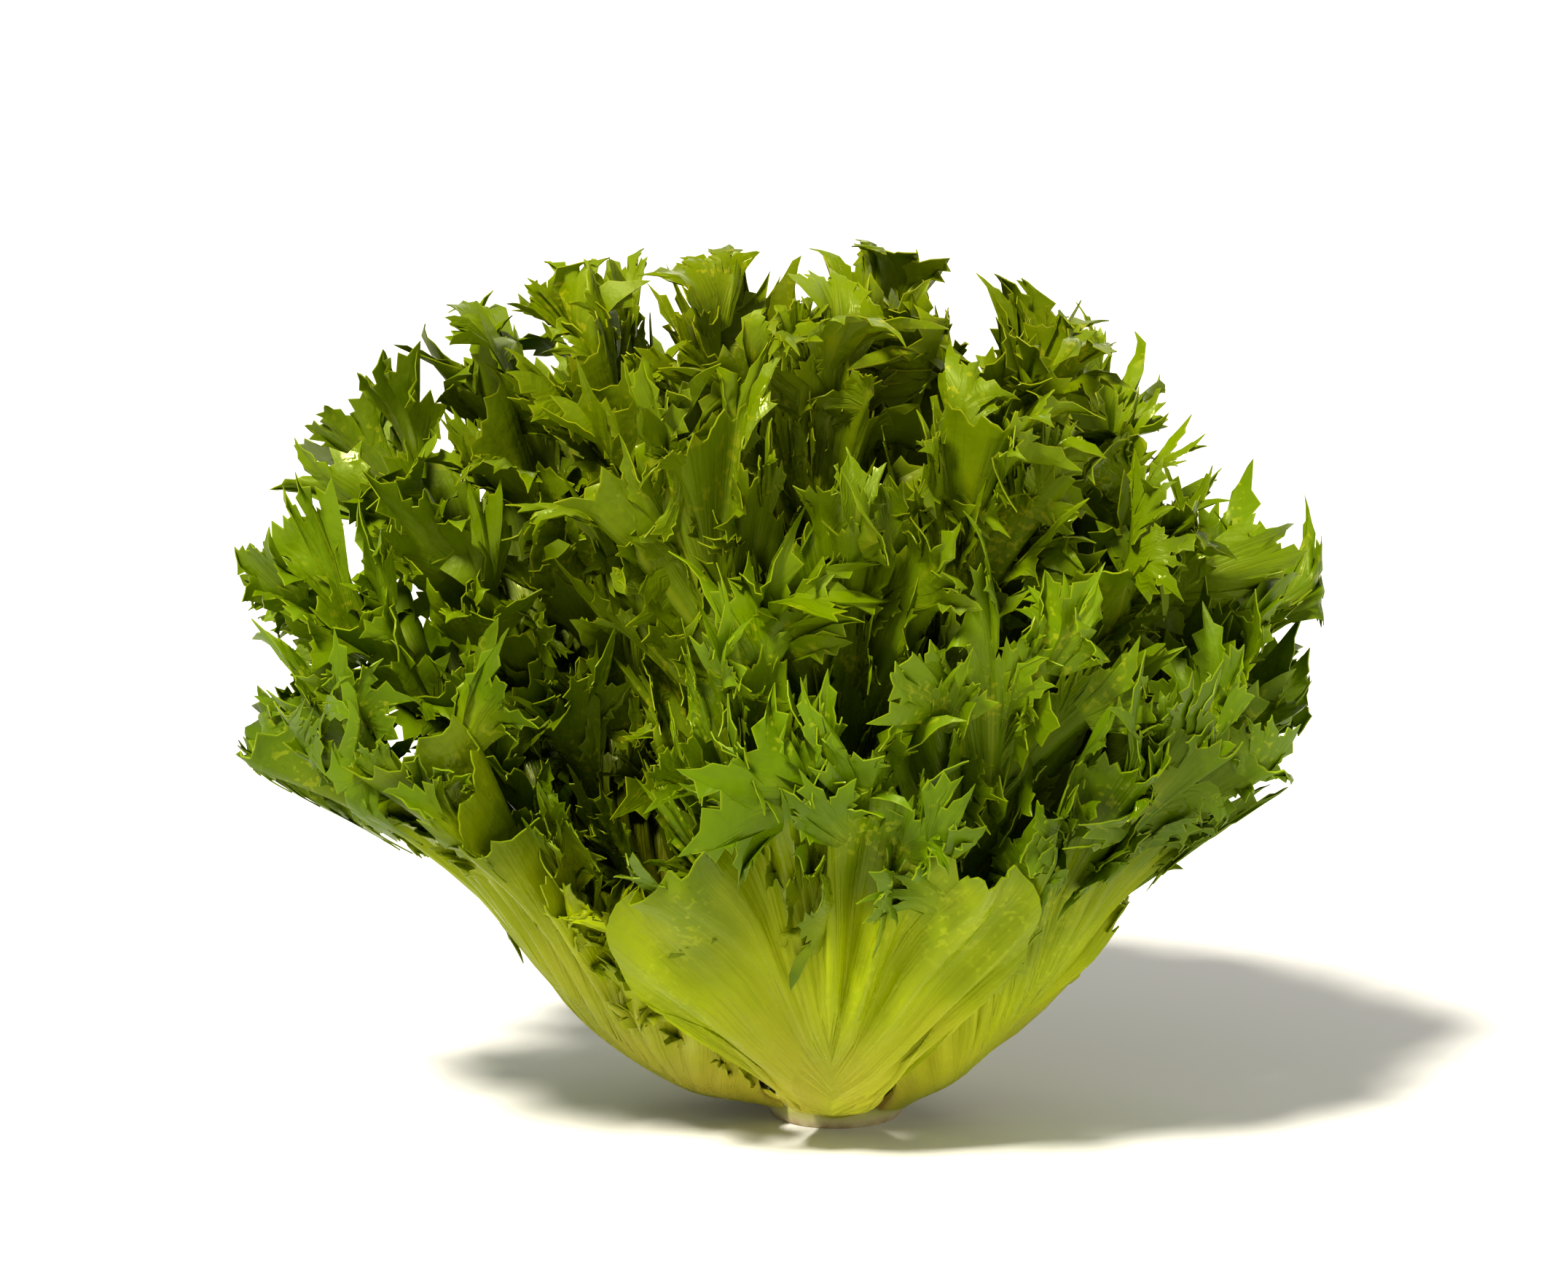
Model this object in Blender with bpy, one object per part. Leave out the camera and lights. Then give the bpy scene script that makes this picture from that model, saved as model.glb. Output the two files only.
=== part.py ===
"""A head of curly endive, cut at the stem and standing upright on its cut face.

Metres, +Z up. The origin is the centre of the cut stem face, and the side that the head shows best faces -Y.
Each leaf is one thin closed blade with a thick rib at its foot and a waved, lobed edge. The leaves stand
in whorls round a short stem. Each whorl follows its own layer of a fan that opens outwards, and each leaf
has its own share of the turn round the stem. Low down, where the blades are plain, neighbours lap over each
other like tiles. Further up each keeps to its own share, where its waves have room, so no two leaves meet.
"""

import math
import random
from dataclasses import dataclass

import bmesh
import bpy
import numpy as np

# ---- the stem ----
CUT_FACE_RADIUS = 0.0158
CUT_CHAMFER = 0.0007
STEM_NECK_HEIGHT = 0.0036
STEM_TIP_ROUNDING = 0.0015
STEM_SIDES = 24
STEM_TO_LEAF_GAP = 0.0016

# ---- the fan that the leaves follow ----
# The radius and height of a leaf's foot, in layer 0 (at the heart) and in layer 1 (outermost).
FOOT_RADIUS = (0.0050, 0.0185)
FOOT_HEIGHT = (0.0330, 0.0055)
# How far layer 1 leans from upright, in degrees, towards +X, +Y, -X and -Y.
LEAN_AT_FOOT = (52.0, 57.0, 74.0, 55.0)
LEAN_AT_BULGE = (37.0, 35.0, 38.0, 24.0)
LEAN_AT_TIP = (61.0, 45.0, 68.0, 31.0)
# The least step from one whorl's layer to the next.
LAYER_STEP = 0.15
BULGE_LENGTH = 0.070
FAN_LENGTH = 0.210

# ---- a leaf's blade and rib ----
BLADE_THICKNESS = 0.0009
RIB_DEPTH = 0.0036
RIB_HALF_WIDTH = 0.0085
RIB_REACH = 0.72
RIB_RISE = 1.35
RIB_TAPER = 0.7
TIP_ROUNDNESS = 5.0

# ---- how much of its share of the turn a blade fills ----
FOOT_COVER, LAP_COVER, WAVED_COVER = 0.84, 1.22, 0.91
LAP_START, LAP_GROWTH = 0.004, 0.024
LAP_END, LAP_FADE = 0.048, 0.026
LAP_EDGE = (0.30, 0.70)
LAP_LIFT = 0.050

# ---- the waved and lobed edge ----
WAVE_LENGTH = 0.029
WAVE_TURN = math.radians(66.0)
WAVE_FROM_RIB = 0.22
# The height of one such wave above the blade, and the most that it is stretched where the layers leave room.
WAVE_HEIGHT = 0.0066
MOST_STRETCH = 1.5
ROOM_FOR_BLADE = 0.0011
FRILL_GROWTH = 0.030
FRILL_THRESHOLD = 0.12
LOBE_DEPTH = 0.0095
EDGE_STEP = 0.0005
# Two slow drifts of the waves along the edge, in waves' radians and metres, and a swell of their height.
DRIFTS = ((0.8, 0.117), (0.4, 0.071))
SWELL_SHARE, SWELL_LENGTH = 0.15, 0.083
# How many places trace the edge before it is measured off evenly, and how much closer they lie at the tip.
TRACE_PLACES, TRACE_CROWDING = 4000, 2.2
PLAIN_COLUMNS = (0.050, 0.028, 0.012, 0.0)
PLAIN_COLUMN_ROOM = 0.006
ROWS = (0.0, 0.42, 0.76, 1.0)


@dataclass(frozen=True)
class Whorl:
    """The leaves of one layer: bearing and half share of the turn in degrees, and length in metres."""

    name: str
    layer: float
    frill_start: float
    lap: float
    leaves: tuple


WHORLS = (
    Whorl("outer_leaf", 1.00, 0.058, 1.0, (
        (-92, 30, 0.132), (-33, 28, 0.148), (24, 29, 0.152),
        (82, 29, 0.150), (139, 28, 0.158), (196, 29, 0.172))),
    Whorl("second_leaf", 0.83, 0.060, 0.9, (
        (-108, 20, 0.152), (-58, 30, 0.156), (2, 30, 0.165),
        (62, 30, 0.165), (122, 30, 0.170), (182, 30, 0.186))),
    Whorl("third_leaf", 0.66, 0.064, 0.9, (
        (-88, 32, 0.170), (-24, 32, 0.174), (40, 32, 0.172), (105, 33, 0.180), (172, 34, 0.192))),
    Whorl("fourth_leaf", 0.50, 0.070, 0.8, (
        (-124, 34, 0.184), (-56, 34, 0.186), (14, 36, 0.184), (86, 36, 0.186), (162, 40, 0.198))),
    Whorl("fifth_leaf", 0.33, 0.080, 0.0, (
        (-100, 43, 0.192), (-13, 44, 0.190), (76, 45, 0.190), (169, 48, 0.198))),
    Whorl("inner_leaf", 0.17, 0.090, 0.0, (
        (-50, 60, 0.186), (70, 60, 0.184), (190, 60, 0.192))),
    Whorl("heart_leaf", 0.02, 0.090, 0.0, (
        (-90, 60, 0.160), (30, 60, 0.150), (150, 60, 0.165))),
)
FRONT_LEAF = "outer_leaf_1"
FRONT_FRILL_START = 0.080
LEFT_FRONT_LEAF = "outer_leaf_6"
HEART_RIB_SHARE = 0.15

OUTER_GREEN = (0.16, 0.24, 0.012)
HEART_GREEN = (0.45, 0.50, 0.06)
STEM_CREAM = (0.60, 0.55, 0.30)
LEAF_ROUGHNESS, STEM_ROUGHNESS = 0.42, 0.6


def smooth(x):
    """0 below 0, 1 above 1 and an even S between them."""
    x = np.clip(x, 0.0, 1.0)
    return x * x * (3.0 - 2.0 * x)


def between(pair, share):
    """The value at this share of the way from the first of a pair to the second."""
    return pair[0] + (pair[1] - pair[0]) * share


def by_bearing(values, bearing):
    """Blends the values for +X, +Y, -X and -Y to the bearing, with no corner between them."""
    along_x, along_y = np.cos(bearing), np.sin(bearing)
    shares = [np.maximum(way, 0) for way in (along_x, along_y, -along_x, -along_y)]
    return sum(value * share**2 for value, share in zip(values, shares))


def bent_line(start, rate, length):
    """How far out and up a line goes whose lean from upright is start + rate * length."""
    rate = np.where(np.abs(rate) < 1e-6, 1e-6, rate)
    end = start + rate * length
    return (np.cos(start) - np.cos(end)) / rate, (np.sin(end) - np.sin(start)) / rate


def fan(length, layer, bearing):
    """Radius, height and lean at this length along a layer's line: a bulge first, then a slow outward bow."""
    at_foot = layer * np.radians(by_bearing(LEAN_AT_FOOT, bearing))
    at_bulge = layer * np.radians(by_bearing(LEAN_AT_BULGE, bearing))
    at_tip = layer * np.radians(by_bearing(LEAN_AT_TIP, bearing))
    first = np.minimum(length, BULGE_LENGTH)
    rest = np.maximum(length - BULGE_LENGTH, 0.0)
    bulge_rate = (at_bulge - at_foot) / BULGE_LENGTH
    bow_rate = (at_tip - at_bulge) / (FAN_LENGTH - BULGE_LENGTH)
    out_1, up_1 = bent_line(at_foot, bulge_rate, first)
    out_2, up_2 = bent_line(at_bulge, bow_rate, rest)
    radius = between(FOOT_RADIUS, layer) + out_1 + out_2
    height = between(FOOT_HEIGHT, layer) + up_1 + up_2
    return radius, height, at_foot + bulge_rate * first + bow_rate * rest


def running_mean(values):
    """The mean over one wave of the edge, centred on each value."""
    span = int(round(WAVE_LENGTH / EDGE_STEP))
    padded = np.pad(values, (span, span), mode="edge")
    return np.convolve(padded, np.ones(span) / span, mode="same")[span:-span]


class Leaf:
    """One leaf, drawn flat as distances across and along its rib, and then bent onto its layer of the fan."""

    def __init__(self, whorl, number, seed):
        bearing, half_share, self.length = whorl.leaves[number - 1]
        self.name = f"{whorl.name}_{number}"
        self.layer = whorl.layer
        self.bearing, self.half_share = math.radians(bearing), math.radians(half_share)
        self.cover = LAP_COVER if whorl.lap else WAVED_COVER
        self.lift_left, self.lift_right = -LAP_LIFT * whorl.lap, LAP_LIFT * whorl.lap
        self.frill_start = whorl.frill_start
        if self.name == FRONT_LEAF:
            self.lift_left, self.frill_start = LAP_LIFT, FRONT_FRILL_START
        if self.name == LEFT_FRONT_LEAF:
            self.lift_right = -LAP_LIFT
        self.trace_edge(random.Random(seed))

    def half_width(self, along):
        """Half the blade's width, which follows its share of the turn and rounds off at the tip."""
        radius = fan(along, self.layer, self.bearing)[0]
        cover = FOOT_COVER + (self.cover - FOOT_COVER) * smooth((along - LAP_START) / LAP_GROWTH)
        cover -= (self.cover - WAVED_COVER) * smooth((along - LAP_END) / LAP_FADE)
        share = np.clip(along / self.length, 0.0, 1.0)
        return self.half_share * radius * cover * np.sqrt(np.maximum(1.0 - share**TIP_ROUNDNESS, 0.0))

    def wave_stretch(self, along):
        """How far the waves are stretched or flattened to fill the room between this layer and the next."""
        radius, height, lean = fan(along, self.layer, self.bearing)
        next_radius, next_height, _ = fan(along, self.layer + LAYER_STEP, self.bearing)
        apart = (next_radius - radius) * np.cos(lean) - (next_height - height) * np.sin(lean)
        return np.clip((0.5 * apart - ROOM_FOR_BLADE) / WAVE_HEIGHT, 0.0, MOST_STRETCH)

    def trace_edge(self, draw):
        """The flat edge in even steps from the left foot corner round the tip to the right, and its waves."""
        along = self.length * (1.0 - (1.0 - np.linspace(0.0, 1.0, TRACE_PLACES)) ** TRACE_CROWDING)
        across = self.half_width(along)
        run = np.concatenate([[0.0], np.cumsum(np.hypot(np.diff(across), np.diff(along)))])
        side = np.linspace(0.0, run[-1], int(run[-1] / EDGE_STEP) + 1)
        along, across = np.interp(side, run, along), np.interp(side, run, across)
        self.half_run = side[-1]
        self.from_tip = np.concatenate([side - side[-1], side[-1] - side[::-1][1:]])
        self.edge_across = np.concatenate([-across, across[::-1][1:]])
        self.edge_along = np.concatenate([along, along[::-1][1:]])
        self.rib_along = RIB_REACH * self.length * (1.0 - np.abs(self.from_tip) / self.half_run) ** RIB_RISE
        self.frill = smooth((self.edge_along - self.frill_start) / FRILL_GROWTH)
        self.stretch = self.wave_stretch(self.edge_along)
        slow, fast, swell = (draw.uniform(0.0, 2.0 * math.pi) for _ in range(3))
        away = np.abs(self.from_tip)
        turns = 2.0 * np.pi * away
        drift = sum(size * (np.sin(turns / length + start) - math.sin(start))
                    for (size, length), start in zip(DRIFTS, (slow, fast)))
        self.phase = (turns / WAVE_LENGTH + drift) * np.sign(self.from_tip)
        swelling = np.sin(2.0 * np.pi * self.from_tip / SWELL_LENGTH + swell)
        self.swell = (1.0 - SWELL_SHARE + SWELL_SHARE * swelling) * draw.choice((-1.0, 1.0))

    def wave(self, row):
        """How far out the edge's waves lift the blade at this share of the way from rib to edge."""
        grown = smooth((row - WAVE_FROM_RIB) / (1.0 - WAVE_FROM_RIB))
        turn = WAVE_TURN * grown * self.frill * self.swell * np.sin(self.phase)
        climb = np.cumsum(np.sin(turn) / running_mean(np.cos(turn))) * EDGE_STEP
        return (climb - running_mean(climb)) * self.frill * self.stretch

    def columns(self):
        """Distances from the tip where the blade's lines meet the edge, and which of them are lobes."""
        quarter = 0.5 * np.pi
        right = self.from_tip >= 0.0
        away, phase, frill = self.from_tip[right], self.phase[right], self.frill[right]
        last = int(math.floor(phase[frill > FRILL_THRESHOLD][-1] / quarter))
        waved = np.interp(np.arange(last + 1) * quarter, phase, away)
        along = np.interp(waved[-1], away, self.edge_along[right]) - PLAIN_COLUMN_ROOM
        upwards, backwards = self.edge_along[right][::-1], away[::-1]
        plain = [np.interp(at, upwards, backwards) for at in PLAIN_COLUMNS if at < along]
        lobe = np.concatenate([1 - np.arange(last + 1) % 2, np.ones(len(plain))])
        half = np.concatenate([waved, plain])
        return np.concatenate([-half[:0:-1], half]), np.concatenate([lobe[:0:-1], lobe])

    def middle_surface(self):
        """Rows of points from the rib to the edge: across, along and out from the layer."""
        at, is_lobe = self.columns()
        edge_across = np.interp(at, self.from_tip, self.edge_across)
        edge_along = np.interp(at, self.from_tip, self.edge_along)
        rib_along = np.interp(at, self.from_tip, self.rib_along)
        reach_along = edge_along - rib_along
        cut = LOBE_DEPTH * np.interp(at, self.from_tip, self.frill) * (1.0 - is_lobe)
        cut_share = cut / np.hypot(edge_across, reach_along)
        rows = []
        for row in ROWS:
            share = row * (1.0 - cut_share * row)
            out = np.interp(at, self.from_tip, self.wave(row))
            rows.append(np.stack([edge_across * share, rib_along + reach_along * share, out], -1))
        return np.array(rows)

    def rib_share(self, across, along):
        """The rib's share of its full depth: deepest in the middle of the foot, gone at the rib's end."""
        left = np.clip(1.0 - along / (RIB_REACH * self.length), 0.0, 1.0)
        return left**RIB_TAPER * np.exp(-((across / RIB_HALF_WIDTH) ** 2))

    def in_head(self, points):
        """Bends flat points onto the leaf's layer of the fan, edges lifted where neighbours lap."""
        across, along, out = points[..., 0], points[..., 1], points[..., 2]
        bearing = self.bearing + across / fan(along, self.layer, self.bearing)[0]
        side = across / np.maximum(self.half_width(np.minimum(along, LAP_END + LAP_FADE)), EDGE_STEP)
        near_edge = smooth((np.abs(side) - LAP_EDGE[0]) / (LAP_EDGE[1] - LAP_EDGE[0]))
        lift = np.where(side < 0.0, self.lift_left, self.lift_right) * near_edge
        lift = lift * smooth(along / LAP_GROWTH) * (1.0 - smooth((along - LAP_END) / LAP_FADE))
        radius, height, lean = fan(along, self.layer + lift, bearing)
        radius = radius + out * np.cos(lean)
        return np.stack([radius * np.cos(bearing), radius * np.sin(bearing), height - out * np.sin(lean)], -1)

    def solid(self):
        """The blade as vertices and triangles: both faces split alike, closed along the whole border."""
        flat = self.middle_surface()
        points = self.in_head(flat)
        rows, columns = flat.shape[:2]
        faces, border = blade_triangles(rows, columns)
        points, flat = points.reshape(-1, 3), flat.reshape(-1, 3)
        normals = point_normals(points, faces)
        rib_depth = RIB_DEPTH * between((HEART_RIB_SHARE, 1.0), self.layer)
        depth = BLADE_THICKNESS + rib_depth * self.rib_share(flat[:, 0], flat[:, 1])
        shift = normals * (0.5 * depth)[:, None]
        count = len(points)
        outer = [tuple(face) for face in faces]
        inner = [(a + count, c + count, b + count) for a, b, c in faces]
        rim = []
        for a, b in zip(border, border[1:] + border[:1]):
            rim += [(b, a, a + count), (b, a + count, b + count)]
        return np.concatenate([points + shift, points - shift]), outer + inner + rim


def blade_triangles(rows, columns):
    """Triangles of a blade's grid, whose two halves share the points of the rib, and its border in order."""
    index = np.arange(rows * columns).reshape(rows, columns)
    middle = columns // 2
    index[0, middle + 1 :] = index[0, :middle][::-1]
    faces = []
    for row in range(rows - 1):
        for column in range(columns - 1):
            a, b = index[row, column], index[row, column + 1]
            d, c = index[row + 1, column], index[row + 1, column + 1]
            faces += [(a, b, d), (b, c, d)] if column < middle else [(a, b, c), (a, c, d)]
    border = [int(i) for i in [*index[::-1, 0], *index[1:, -1], *index[-1, -2:0:-1]]]
    return [tuple(int(i) for i in face) for face in faces if len(set(face)) == 3], border[::-1]


def point_normals(points, faces):
    """The mean direction that the triangles round each point face."""
    corners = points[np.array(faces)]
    across = np.cross(corners[:, 1] - corners[:, 0], corners[:, 2] - corners[:, 0])
    normals = np.zeros_like(points)
    for corner in range(3):
        np.add.at(normals, np.array(faces)[:, corner], across)
    return normals / np.maximum(np.linalg.norm(normals, axis=1), 1e-12)[:, None]


def make_material(name, colour, roughness):
    material = bpy.data.materials.new(name)
    material.use_nodes = True
    shader = material.node_tree.nodes["Principled BSDF"]
    shader.inputs["Base Color"].default_value = (*colour, 1.0)
    shader.inputs["Roughness"].default_value = roughness
    material.diffuse_color = (*colour, 1.0)
    return material


def add_object(name, mesh, material):
    mesh.materials.append(material)
    part = bpy.data.objects.new(name, mesh)
    bpy.context.scene.collection.objects.link(part)


def make_leaf(leaf):
    """One leaf as an object: greener the further out it stands."""
    vertices, faces = leaf.solid()
    model = bmesh.new()
    made = [model.verts.new(vertex) for vertex in vertices]
    for face in faces:
        model.faces.new([made[i] for i in face])
    loose = [vertex for vertex in model.verts if not vertex.link_faces]
    bmesh.ops.delete(model, geom=loose, context="VERTS")
    bmesh.ops.recalc_face_normals(model, faces=model.faces)
    mesh = bpy.data.meshes.new(leaf.name)
    model.to_mesh(mesh)
    model.free()
    mesh.shade_smooth()
    green = tuple(between(pair, leaf.layer) for pair in zip(HEART_GREEN, OUTER_GREEN))
    add_object(leaf.name, mesh, make_material(leaf.name, green, LEAF_ROUGHNESS))


def make_stem():
    """The short stem, turned: a flat cut face below and a cone that the leaf feet stand round."""
    slope = math.atan2(FOOT_RADIUS[1] - FOOT_RADIUS[0], FOOT_HEIGHT[0] - FOOT_HEIGHT[1])
    inwards, down = STEM_TO_LEAF_GAP * math.cos(slope), STEM_TO_LEAF_GAP * math.sin(slope)
    neck_radius, neck_height = FOOT_RADIUS[1] - inwards, FOOT_HEIGHT[1] - down
    tip_radius, tip_height = FOOT_RADIUS[0] - inwards, FOOT_HEIGHT[0] - down
    profile = (
        (0.0, 0.0),
        (CUT_FACE_RADIUS, 0.0),
        (CUT_FACE_RADIUS + CUT_CHAMFER, CUT_CHAMFER),
        (neck_radius, min(neck_height, STEM_NECK_HEIGHT)),
        (neck_radius, neck_height),
        (tip_radius, tip_height),
        (tip_radius - STEM_TIP_ROUNDING, tip_height + 0.6 * STEM_TIP_ROUNDING),
        (0.0, tip_height + STEM_TIP_ROUNDING),
    )
    model = bmesh.new()
    line = [model.verts.new((radius, 0.0, height)) for radius, height in profile]
    edges = [model.edges.new(pair) for pair in zip(line, line[1:])]
    bmesh.ops.spin(
        model, geom=line + edges, cent=(0, 0, 0), axis=(0, 0, 1), angle=2 * math.pi, steps=STEM_SIDES)
    bmesh.ops.remove_doubles(model, verts=model.verts, dist=1e-6)
    bmesh.ops.recalc_face_normals(model, faces=model.faces)
    mesh = bpy.data.meshes.new("stem")
    model.to_mesh(mesh)
    model.free()
    mesh.shade_smooth()
    mesh.set_sharp_from_angle(angle=math.radians(35.0))
    add_object("stem", mesh, make_material("stem", STEM_CREAM, STEM_ROUGHNESS))


def main():
    for old in list(bpy.data.objects):
        bpy.data.objects.remove(old)
    make_stem()
    seed = 0
    for whorl in WHORLS:
        for number in range(1, len(whorl.leaves) + 1):
            seed += 1
            make_leaf(Leaf(whorl, number, seed))


main()
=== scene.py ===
"""Looks of a head of curly endive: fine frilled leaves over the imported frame, a cut stem and a studio.

Metres, +Z up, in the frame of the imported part: the origin is the centre of the cut face and the front of
the head faces -Y. Every leaf follows the same bed of layers, the same share of the turn and the same waves
as its solid, so it stays where its solid is. The fine leaf adds what the solid leaves out: bays that part
the edge into lobes, spines, pleats, a fleshy rib, thin crisp edges, and the curled and horned fans that
peel off the blade along its edge and over its outward face.
"""

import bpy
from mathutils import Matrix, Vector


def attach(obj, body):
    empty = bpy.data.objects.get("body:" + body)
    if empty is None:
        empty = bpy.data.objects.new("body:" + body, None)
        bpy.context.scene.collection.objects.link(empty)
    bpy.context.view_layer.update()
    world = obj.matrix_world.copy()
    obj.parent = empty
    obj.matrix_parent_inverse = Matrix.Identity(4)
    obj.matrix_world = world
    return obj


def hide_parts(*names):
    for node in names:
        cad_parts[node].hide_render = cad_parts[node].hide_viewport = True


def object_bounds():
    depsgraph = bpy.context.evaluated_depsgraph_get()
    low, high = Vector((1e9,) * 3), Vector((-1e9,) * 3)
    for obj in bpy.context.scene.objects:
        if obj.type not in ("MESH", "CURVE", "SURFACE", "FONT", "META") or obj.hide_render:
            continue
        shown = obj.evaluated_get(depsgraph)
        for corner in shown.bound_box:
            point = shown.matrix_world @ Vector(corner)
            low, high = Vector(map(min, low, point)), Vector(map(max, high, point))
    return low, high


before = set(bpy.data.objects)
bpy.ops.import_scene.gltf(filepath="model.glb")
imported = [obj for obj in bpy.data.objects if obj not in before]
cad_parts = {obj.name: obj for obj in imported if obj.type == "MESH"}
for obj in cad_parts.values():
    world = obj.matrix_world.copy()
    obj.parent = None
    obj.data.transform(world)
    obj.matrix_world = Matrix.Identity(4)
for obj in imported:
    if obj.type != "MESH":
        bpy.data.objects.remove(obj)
PACKED_BOX = [[float(value) for value in corner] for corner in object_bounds()]

import logging
import math
import random
from dataclasses import astuple, dataclass, field
from enum import Enum

import bpy
import numpy as np
from mathutils import Vector

LOG = logging.getLogger("endive")
Array = np.ndarray
Thing = bpy.types.Object
Socket = bpy.types.NodeSocket
Marks = dict[str, Socket]
Pair = tuple[float, float]
Triple = tuple[float, float, float]
MILLIMETRE = 0.001
# Points closer than this are one point.
MEETING = 1e-5
# Leaves stay inside the part's box, widened by this share of each side, and give way over this distance.
BOX_SPARE, BOX_GIVE = 0.02, 0.014


class Slot(Enum):
    """The finishes that the record names."""

    STEM = "stem"
    OUTER = "outer_leaves"
    MIDDLE = "middle_leaves"
    INNER = "inner_leaves"


class Side(Enum):
    """How the edges of a leaf lie where its neighbours lap over it."""

    TILED = "tiled"
    OVER_BOTH = "over both"
    UNDER_BOTH = "under both"


def smooth(x: Array | float) -> Array | float:
    """0 below 0, 1 above 1 and an even S between them."""
    x = np.clip(x, 0.0, 1.0)
    return x * x * (3.0 - 2.0 * x)


def between(low: float, high: float, share: Array | float) -> Array | float:
    """The value at this share of the way from low to high."""
    return low + (high - low) * share


def unit(ways: Array) -> Array:
    """The same directions, each 1 long."""
    return ways / np.maximum(np.linalg.norm(ways, axis=-1, keepdims=True), 1e-9)


def eased(at: Array, knots: Array, values: Array) -> Array:
    """Rows of values between knots, with no corners.

    Args:
        at: Where the values are wanted.
        knots: Evenly spaced places of the known values.
        values: One row of known values for each row wanted.

    Returns:
        One row of values for each row of knots.
    """
    place = np.clip((at - knots[0]) / (knots[1] - knots[0]), 0.0, len(knots) - 1.001)
    knot = place.astype(int)
    return values[:, knot] + (values[:, knot + 1] - values[:, knot]) * smooth(place - knot)


def rolled_up(run: Array, up: Array, rate: Array, turn: Array) -> tuple[Array, Array]:
    """Rolls flat points up round an axis.

    Args:
        run: How far along the roll they are.
        up: How high above it.
        rate: The turn for each metre.
        turn: How far each point is turned.

    Returns:
        How far along and how high they are then.
    """
    along = np.sin(turn) / rate - up * np.sin(turn)
    return along, (1.0 - np.cos(turn)) / rate + up * np.cos(turn)


def turned_off() -> None:
    """Leaves edit mode and deselects every object."""
    if bpy.context.object is not None and bpy.context.object.mode != "OBJECT":
        bpy.ops.object.mode_set(mode="OBJECT")
    bpy.ops.object.select_all(action="DESELECT")


@dataclass(frozen=True)
class LeafBed:
    """The fan of layers that the leaves follow: a bulge over the foot and then a slow outward bow.

    Leans are in degrees from upright for layer 1, towards +X, +Y, -X and -Y. Layer 0 stands upright.
    """

    foot_radius: Pair = (0.0050, 0.0185)
    foot_height: Pair = (0.0330, 0.0055)
    lean_at_foot: tuple[float, ...] = (52.0, 57.0, 74.0, 55.0)
    lean_at_bulge: tuple[float, ...] = (37.0, 35.0, 38.0, 24.0)
    lean_at_tip: tuple[float, ...] = (61.0, 45.0, 68.0, 31.0)
    bulge_length: float = 0.070
    fan_length: float = 0.210

    @staticmethod
    def by_bearing(values: tuple[float, ...], bearing: Array) -> Array:
        """Blends the values for the four sides to this bearing.

        Args:
            values: One value each for +X, +Y, -X and -Y.
            bearing: Angles round the stem from +X, in radians.

        Returns:
            The blended value at each bearing.
        """
        x, y = np.cos(bearing), np.sin(bearing)
        shares = (np.maximum(x, 0), np.maximum(y, 0), np.maximum(-x, 0), np.maximum(-y, 0))
        return sum(value * share**2 for value, share in zip(values, shares))

    @staticmethod
    def bent_line(start: Array, rate: Array, length: Array) -> tuple[Array, Array]:
        """How far out and up a line goes whose lean from upright is start + rate * length."""
        rate = np.where(np.abs(rate) < 1e-6, 1e-6, rate)
        end = start + rate * length
        return (np.cos(start) - np.cos(end)) / rate, (np.sin(end) - np.sin(start)) / rate

    def line(self, length: Array, layer: Array, bearing: Array) -> tuple[Array, Array, Array]:
        """Where a layer's line is at this length from the leaf's foot.

        Args:
            length: Distances along the line.
            layer: 0 at the heart and 1 outermost.
            bearing: Angles round the stem.

        Returns:
            Radius, height and lean.
        """
        foot = layer * np.radians(self.by_bearing(self.lean_at_foot, bearing))
        bulge = layer * np.radians(self.by_bearing(self.lean_at_bulge, bearing))
        tip = layer * np.radians(self.by_bearing(self.lean_at_tip, bearing))
        first = np.minimum(length, self.bulge_length)
        rest = np.maximum(length - self.bulge_length, 0.0)
        bulge_rate = (bulge - foot) / self.bulge_length
        bow_rate = (tip - bulge) / (self.fan_length - self.bulge_length)
        out_1, up_1 = self.bent_line(foot, bulge_rate, first)
        out_2, up_2 = self.bent_line(bulge, bow_rate, rest)
        radius = between(*self.foot_radius, layer) + out_1 + out_2
        height = between(*self.foot_height, layer) + up_1 + up_2
        return radius, height, foot + bulge_rate * first + bow_rate * rest


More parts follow.
